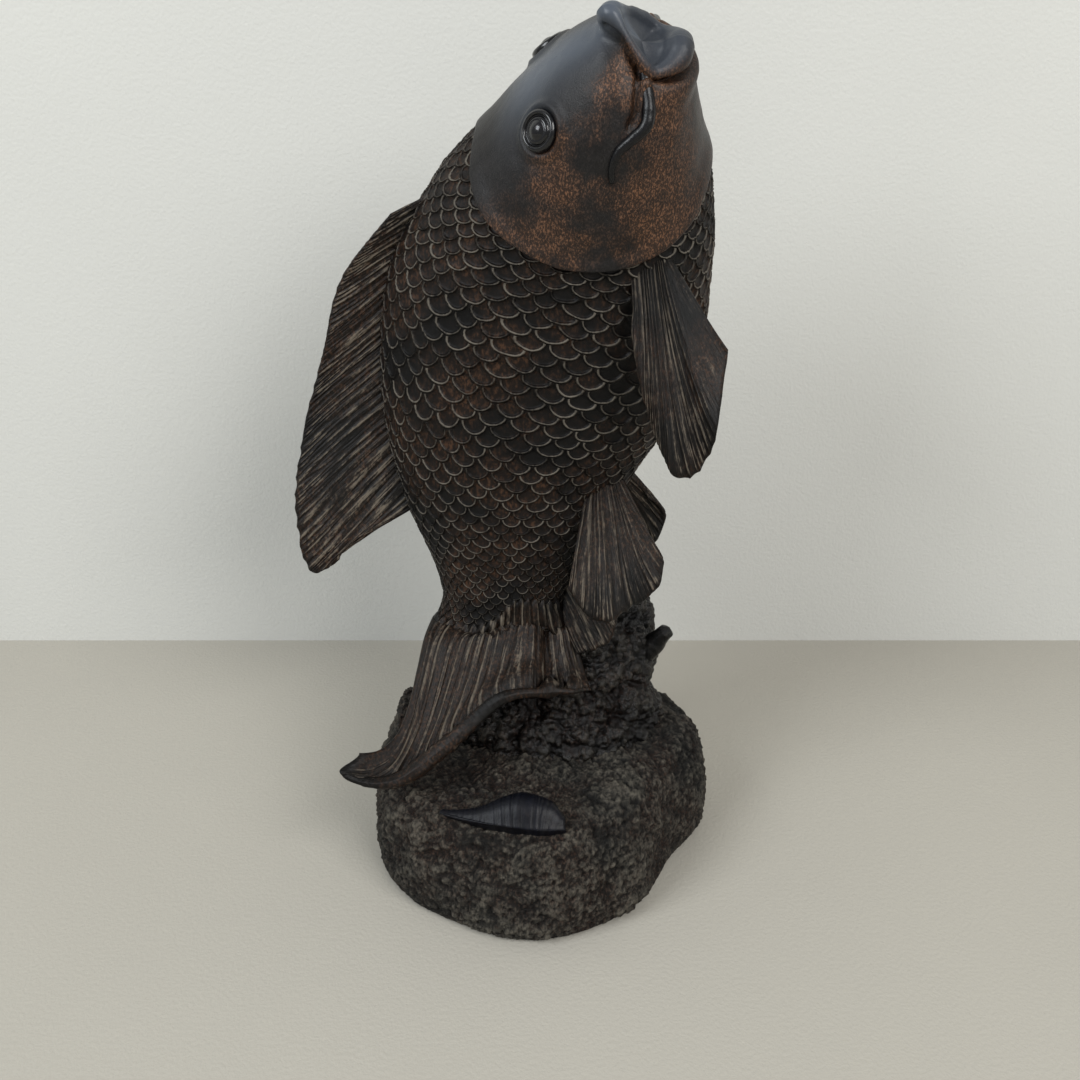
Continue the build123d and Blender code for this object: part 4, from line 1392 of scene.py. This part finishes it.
# The stone from its foot: share of its height and share of its width, how square it is, how much
# of its CAD box its width fills and how far it is sunk
STONE_RINGS = ((0.0, 0.9), (0.3, 0.96), (0.6, 0.95), (0.85, 0.86), (0.97, 0.70), (1.0, 0.45))
STONE_SQUARENESS = 0.55
STONE_FILL = 0.92
STONE_SINK = 0.6
# The cast rock's surface: sizes of its lumps on the rock and on the stone, of its knobs, grains
# and roughness
ROCK_LUMP = 26.0
STONE_LUMP = 12.0
KNOB = 6.0
GRAIN = 2.1
ROUGHNESS = 1.6


def footprint(turn):
    """The rock's outline round its middle, as a share of the base's radius, at turns in degrees."""
    count = len(FOOTPRINT)
    table = [(360 * k / count, FOOTPRINT[k % count]) for k in range(-2, count + 3)]
    return blend(table, np.mod(turn, 360))[..., 0]


def rock_ring(turn, height, ring, shift=0.0):
    """Points round the rock at a height."""
    radius = BASE_RADIUS * ring * footprint(turn)
    x = radius * np.cos(np.radians(turn))
    y = radius * np.sin(np.radians(turn)) + BASE_RADIUS * shift
    return np.stack((x, y, np.full(len(turn), height)), axis=-1)


def at_level(level):
    """The height of a share of the rock's own height."""
    return PAD_PROUD + ROCK_HEIGHT * level


def node_box(node):
    """A CAD node's lowest and highest corners in millimetres."""
    return (np.array(corner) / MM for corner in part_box(node))


def grainy(points, lump_size, lumps, grain):
    """A cast rock surface: lumps, knobs and grains, and the mask of what stands up."""
    coarse = rough(points, lump_size, 3)
    knobs = bubbles(points, KNOB)
    grains = bubbles(points, GRAIN)
    ragged = rough(points, ROUGHNESS, 2)
    height = lumps * coarse + 0.32 * lumps * (knobs - 0.6) + grain * (grains - 0.6 + 0.9 * ragged)
    raised = 0.40 + 0.20 * grains + 0.22 * ragged + 0.15 * (knobs - 0.4) + 0.15 * coarse
    return height, np.clip(raised, 0, 1)


def stone_grid():
    """The stone's smooth points: a rounded block in its node's box."""
    low, high = node_box("stone")
    middle = (low + high) / 2
    turn = np.radians(np.linspace(0, 360, STONE_MESH_COLUMNS + 1))
    round_it = np.stack((np.cos(turn), np.sin(turn)), axis=-1)
    square = round_it / np.abs(round_it).max(axis=-1, keepdims=True) ** STONE_SQUARENESS
    outline = (high - low)[:2] / 2 * STONE_FILL * square
    rings = [(*middle[:2], low[2] - 2)]
    for level, ring in STONE_RINGS:
        height = low[2] + (high[2] - low[2]) * level - STONE_SINK
        rings.append(np.column_stack((middle[:2] + outline * ring, np.full(len(turn), height))))
    rings.append((*middle[:2], high[2] - 0.5))
    return through(rings, [10] * len(STONE_RINGS) + [8])


class FIGURINE_OT_rock(FigurinePiece, bpy.types.Operator):
    """Makes the rock base and the stone on it"""

    bl_idname = "figurine.rock"
    bl_label = "Rock And Stone"

    def execute(self, context):
        lumps, grain = self.sizes.rock_lumps / MM, self.sizes.rock_grain / MM
        turn = np.linspace(0, 360, ROCK_MESH_COLUMNS + 1)
        rings = [(0.0, 0.0, UNDERSIDE[0][0])]
        rings += [rock_ring(turn, height, ring) for height, ring in UNDERSIDE]
        for level, ring, shift in ROCK_RINGS[1:]:
            rings.append(rock_ring(turn, at_level(level), ring - GRAIN_ROOM, shift))
        for ring, level in ROCK_TOP:
            rings.append(rock_ring(turn, at_level(level), ring, ROCK_TOP_SHIFT))
        rings.append((0.0, BASE_RADIUS * ROCK_TOP_SHIFT, at_level(ROCK_TOP[-1][1])))
        seat_steps = [2, 1, 1, 1]
        side_steps = [16] * (len(ROCK_RINGS) - 1)
        points = through(rings, seat_steps + [2] + side_steps + [20, 20, 8])

        # The underside stays flat, and nothing stands out past the sides of the CAD rock's box
        seat = sum(seat_steps) + 1
        height, raised = grainy(points, ROCK_LUMP, lumps, grain)
        above = smooth_step(PAD_PROUD, PAD_PROUD + 3.0, points[..., 2])
        above[:seat] = 0
        placed = lifted(points, (height - 0.4) * above)
        placed[seat:, :, 2] = np.maximum(placed[seat:, :, 2], PAD_PROUD)
        low, high = node_box("rock_base")
        placed[..., :2] = np.clip(placed[..., :2], low[:2], high[:2])
        rock = bent_grid("rock_base_grained", placed, {"raised": raised})
        dress(rock, "Rock grain", "rock", "rock_base")

        points = stone_grid()
        height, raised = grainy(points, STONE_LUMP, lumps * 0.6, grain)
        stone = bent_grid("stone_grained", lifted(points, height - 0.5), {"raised": raised})
        dress(stone, "Rock grain", "rock", "stone")
        return self.finish(rock, stone)


# The coral's lumps: their size, how far they stand out as a share of the largest, and how much
# paler they are
CORAL_LUMPS = ((10.0, 1.0, 0.55), (4.4, 0.52, 0.30), (2.0, 0.34, 0.35))
CORAL_MESH_COLUMNS = 470
CORAL_STEPS = (2, 24, 24, 26, 26, 26, 26, 24)
# How far the smooth coral stays inside its outline and below its top for its lumps
LUMP_ROOM = 0.45
TOP_ROOM = 2.0
# The coral's finger: where it grows, as shares of the coral's radius and height, its path as
# shares of its length, and its taper as shares of its radius
FINGER_SPOT = (0.92, 0.38, 0.50)
FINGER_LENGTH = 19.0
FINGER_DIAMETER = 9.5
FINGER_PATH = ((-0.35, 0.06, -0.25), (-0.10, 0.00, 0.00), (0.20, -0.08, 0.36), (0.40, -0.20, 0.70))
FINGER_TAPER = (0.9, 1.0, 0.85, 0.55)


class FIGURINE_OT_coral(FigurinePiece, bpy.types.Operator):
    """Makes the lumpy coral column and its one smooth finger"""

    bl_idname = "figurine.coral"
    bl_label = "Coral"

    def execute(self, context):
        amount = self.sizes.coral_bubbles / MM
        turn = np.linspace(0, 2 * pi, CORAL_MESH_COLUMNS + 1)
        rings = []
        for level, x, y, width in CORAL_RINGS:
            reach = CORAL_RADIUS * width - LUMP_ROOM * amount
            east = CORAL_RADIUS * x + reach * np.cos(turn)
            north = CORAL_RADIUS * y + reach * CORAL_DEPTH * np.sin(turn)
            height = CORAL_FOOT + (CORAL_HEIGHT - TOP_ROOM) * level
            rings.append(np.stack((east, north, np.full(len(turn), height)), axis=-1))
        foot = rings[0].mean(axis=0) - (0, 0, 2)
        top = rings[-1].mean(axis=0) + (0, 0, 1)
        points = through([foot, *rings, top], CORAL_STEPS)
        height = np.zeros(points.shape[:2])
        raised = np.full(height.shape, -0.25)
        for size, rise, shade in CORAL_LUMPS:
            lumps = bubbles(points, size)
            height += rise * amount * (lumps - 0.5)
            raised += shade * lumps
        height[0] = height[-1] = 0
        column = bent_grid("coral_column_lumpy", lifted(points, height), {"raised": np.clip(raised, 0, 1)})
        dress(column, "Coral crust", "coral", "coral_column")

        across, behind, level = FINGER_SPOT
        root = np.array((CORAL_RADIUS * across, CORAL_RADIUS * behind, CORAL_FOOT + CORAL_HEIGHT * level))
        path = root + np.array(FINGER_PATH) * FINGER_LENGTH
        points = tube(path, FINGER_DIAMETER / 2 * np.array(FINGER_TAPER), 40, 24)
        raised = np.clip(0.45 + 0.5 * rough(points, 2.0, 2), 0, 1)
        points = lifted(points, 0.35 * rough(points, 4.0, 3))
        finger = bent_grid("coral_finger_bumpy", points, {"raised": raised})
        dress(finger, "Coral crust", "coral", "coral_finger")
        return self.finish(column, finger)


# The shell's outline along it: share of its length and share of its width
SHELL_OUTLINE = ((0.0, 0.06), (0.3, 0.34), (0.6, 0.95), (0.75, 1.0), (0.9, 0.82), (1.0, 0.35))
# Where it lies on the rock: turn, length round it, width up it, share of the rock's height, the
# share of it to the spot that gives the slope there, and how far it bulges
SHELL_TURN = 256.0
SHELL_LENGTH = 52.0
SHELL_WIDTH = 14.0
SHELL_LEVEL = 0.94
SHELL_SLOPE = 0.06
SHELL_BOW = 0.38
SHELL_THICKNESS = (8.0, 4.0)
SHELL_RIBS = 14
RIB_RELIEF = 0.22


def rock_point(turn, level):
    """Points on the rock's side at turns and a share of its height."""
    return rock_ring(turn, at_level(level), *blend(ROCK_RINGS, level))


def shell_ribs(spread):
    """Roots, tips and bows of the shell's ribs, which stand on the rock's side."""
    half_turn = np.degrees(SHELL_LENGTH / BASE_RADIUS) / 2
    turn = SHELL_TURN + half_turn * (2 * spread - 1)
    foot = rock_point(turn, SHELL_LEVEL)
    slope = unit(rock_point(turn, SHELL_LEVEL + SHELL_SLOPE) - foot)
    reach = SHELL_WIDTH * blend(SHELL_OUTLINE, spread)
    bow = (unit(foot * (1, 1, 0)) * 0.4 + (0, 0, 1)) * reach * SHELL_BOW
    return foot, foot + slope * reach, bow


class FIGURINE_OT_shell(FigurinePiece, bpy.types.Operator):
    """Makes the ribbed shell on the rock's front"""

    bl_idname = "figurine.shell"
    bl_label = "Shell"

    def execute(self, context):
        points, masks = fin_blade(shell_ribs, SHELL_THICKNESS, SHELL_RIBS, 200, 40, RIB_RELIEF, 0.0, 9.1)
        shell = bent_grid("seashell_ribbed", points, masks)
        dress(shell, "Seashell glaze", "shell", "shell")
        return self.finish(shell)


# The CAD parts that keep their meshes: finish, colour, metal, roughness and scale of the grain
KEPT_PARTS = {
    "support_rod": ("Drawn steel", paint(170, 170, 172), 1.0, 0.35, (4000.0, 4000.0, 60.0)),
    "base_pad": ("Pad rubber", paint(38, 38, 38), 0.0, 0.6, (900.0, 900.0, 900.0)),
}


class FIGURINE_OT_hidden_parts(FigurinePiece, bpy.types.Operator):
    """Gives the rod and the pad, which stay CAD parts, their finish"""

    bl_idname = "figurine.hidden_parts"
    bl_label = "Rod And Pad"

    def execute(self, context):
        for node, (name, colour, metal, roughness, scale) in KEPT_PARTS.items():
            g = new_material(name, 0.0001, Metallic=metal)
            grain = g.noise(g.stretch(g.coordinates("Object"), scale), 1.0)
            low = tuple(value * 0.8 for value in colour)
            show(g, g.mix(grain, low, colour), g.ramp(grain, 0.3, roughness), grain)
            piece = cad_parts[node]
            piece.data.materials.clear()
            piece.data.materials.append(bpy.data.materials[name])
        return self.finish(*(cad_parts[node] for node in KEPT_PARTS))


# The stage, in metres and degrees
STAGE_HALF = 1.5
WALL_BEHIND = 0.139
WALL_SUNK = 0.02
CAMERA_SPOT = (0.0, -0.368, 0.302)
CAMERA_PITCH = 26.0
FOCAL_LENGTH = 40.0
SENSOR_WIDTH = 36.0
# Lamps: name, place, turns, width, power and colour
LAMPS = (
    ("Window right", (0.75, -1.05, 1.05), (64, 0, 36), 0.8, 18.0, (1.0, 0.99, 0.97)),
    ("Window left", (-0.95, -0.75, 1.0), (58, 0, -52), 0.7, 14.5, (0.93, 0.97, 1.0)),
)
ROOM_COLOUR = (0.95, 0.97, 1.0, 1.0)
ROOM_STRENGTH = 0.40


def stage_plane(name, matrix):
    """A flat piece of the stage."""
    bm = bmesh.new()
    bmesh.ops.create_grid(bm, x_segments=8, y_segments=8, size=STAGE_HALF, matrix=matrix)
    return finished(name, bm)


def stage_material(name, colour):
    """Softly mottled matt paint."""
    g = new_material(name, 0.0002, 0.2)
    vector = g.coordinates("Object")
    soft = g.noise(vector, scale=9.0, roughness=0.5)
    darker = tuple(value * 0.94 for value in colour)
    show(g, g.mix(soft, darker, colour), 0.85, g.noise(vector, scale=700.0, detail=2.0, roughness=0.5))
    return g


def clear_from_behind(g):
    """Makes a material transparent where its back is seen."""
    seen = g.tree.nodes.new("ShaderNodeMixShader")
    behind = g.add("ShaderNodeNewGeometry", output="Backfacing")
    painted = g.tree.nodes["Principled BSDF"].outputs[0]
    for socket, value in zip(seen.inputs, (behind, painted, g.add("ShaderNodeBsdfTransparent"))):
        g.feed(socket, value)
    g.feed(g.tree.nodes["Material Output"].inputs["Surface"], seen.outputs[0])


class FIGURINE_OT_stage(FigurinePiece, bpy.types.Operator):
    """Makes the surface, the wall, the lamps and the camera"""

    bl_idname = "figurine.stage"
    bl_label = "Stage"

    def execute(self, context):
        scene = context.scene
        upright = Matrix.Rotation(pi / 2, 4, "X")
        behind = Matrix.Translation((0, WALL_BEHIND, STAGE_HALF - WALL_SUNK))
        floor = stage_plane("stage_floor", Matrix.Identity(4))
        wall = stage_plane("stage_wall", behind @ upright)
        stage_material("Stage floor", chosen_colour("floor"))
        clear_from_behind(stage_material("Stage wall", chosen_colour("wall")))
        for piece, name in ((floor, "Stage floor"), (wall, "Stage wall")):
            piece.data.materials.append(bpy.data.materials[name])

        for name, spot, turns, size, power, colour in LAMPS:
            data = bpy.data.lights.new(name, "AREA")
            data.energy = power
            data.size = size
            data.color = colour
            lamp = bpy.data.objects.new(name, data)
            lamp.location = spot
            lamp.rotation_euler = [radians(turn) for turn in turns]
            scene.collection.objects.link(lamp)
        world = bpy.data.worlds.new("Room light")
        world.use_nodes = True
        world.node_tree.nodes["Background"].inputs["Color"].default_value = ROOM_COLOUR
        world.node_tree.nodes["Background"].inputs["Strength"].default_value = ROOM_STRENGTH
        scene.world = world

        lens = bpy.data.cameras.new("Photo camera")
        lens.sensor_width = SENSOR_WIDTH
        lens.lens = FOCAL_LENGTH
        lens.clip_start = 0.01
        camera = bpy.data.objects.new("Photo camera", lens)
        camera.location = CAMERA_SPOT
        camera.rotation_euler = (radians(90 - CAMERA_PITCH), 0, 0)
        scene.collection.objects.link(camera)
        scene.camera = camera
        scene.view_settings.view_transform = "Standard"
        return self.finish(floor, wall, camera)


class FIGURINE_PT_dressing(bpy.types.Panel):
    """Sizes, colours and steps of the figurine's dressing"""

    bl_label = "Fish Figurine"
    bl_idname = "FIGURINE_PT_dressing"
    bl_space_type = "VIEW_3D"
    bl_region_type = "UI"
    bl_category = "Figurine"

    def draw(self, context):
        layout = self.layout
        for group in (context.scene.figurine_sizes, context.scene.figurine_colours):
            box = layout.box()
            for name in group.__annotations__:
                box.prop(group, name)
        for step in STEPS:
            layout.operator(step.bl_idname)


STEPS = (
    FIGURINE_OT_body,
    FIGURINE_OT_head,
    FIGURINE_OT_eyes,
    FIGURINE_OT_barbels,
    FIGURINE_OT_fins,
    FIGURINE_OT_tail,
    FIGURINE_OT_rock,
    FIGURINE_OT_coral,
    FIGURINE_OT_shell,
    FIGURINE_OT_hidden_parts,
    FIGURINE_OT_stage,
)
CLASSES = (FigurineSizes, FigurineColours, *STEPS, FIGURINE_PT_dressing)


def register():
    for item in CLASSES:
        bpy.utils.register_class(item)
    bpy.types.Scene.figurine_sizes = PointerProperty(type=FigurineSizes)
    bpy.types.Scene.figurine_colours = PointerProperty(type=FigurineColours)


def unregister():
    del bpy.types.Scene.figurine_colours
    del bpy.types.Scene.figurine_sizes
    for item in reversed(CLASSES):
        bpy.utils.unregister_class(item)


def main():
    """Registers the add-on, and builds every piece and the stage."""
    register()
    materials()
    for step in STEPS:
        group, name = step.bl_idname.split(".")
        getattr(getattr(bpy.ops, group), name)()


if __name__ == "__main__":
    main()
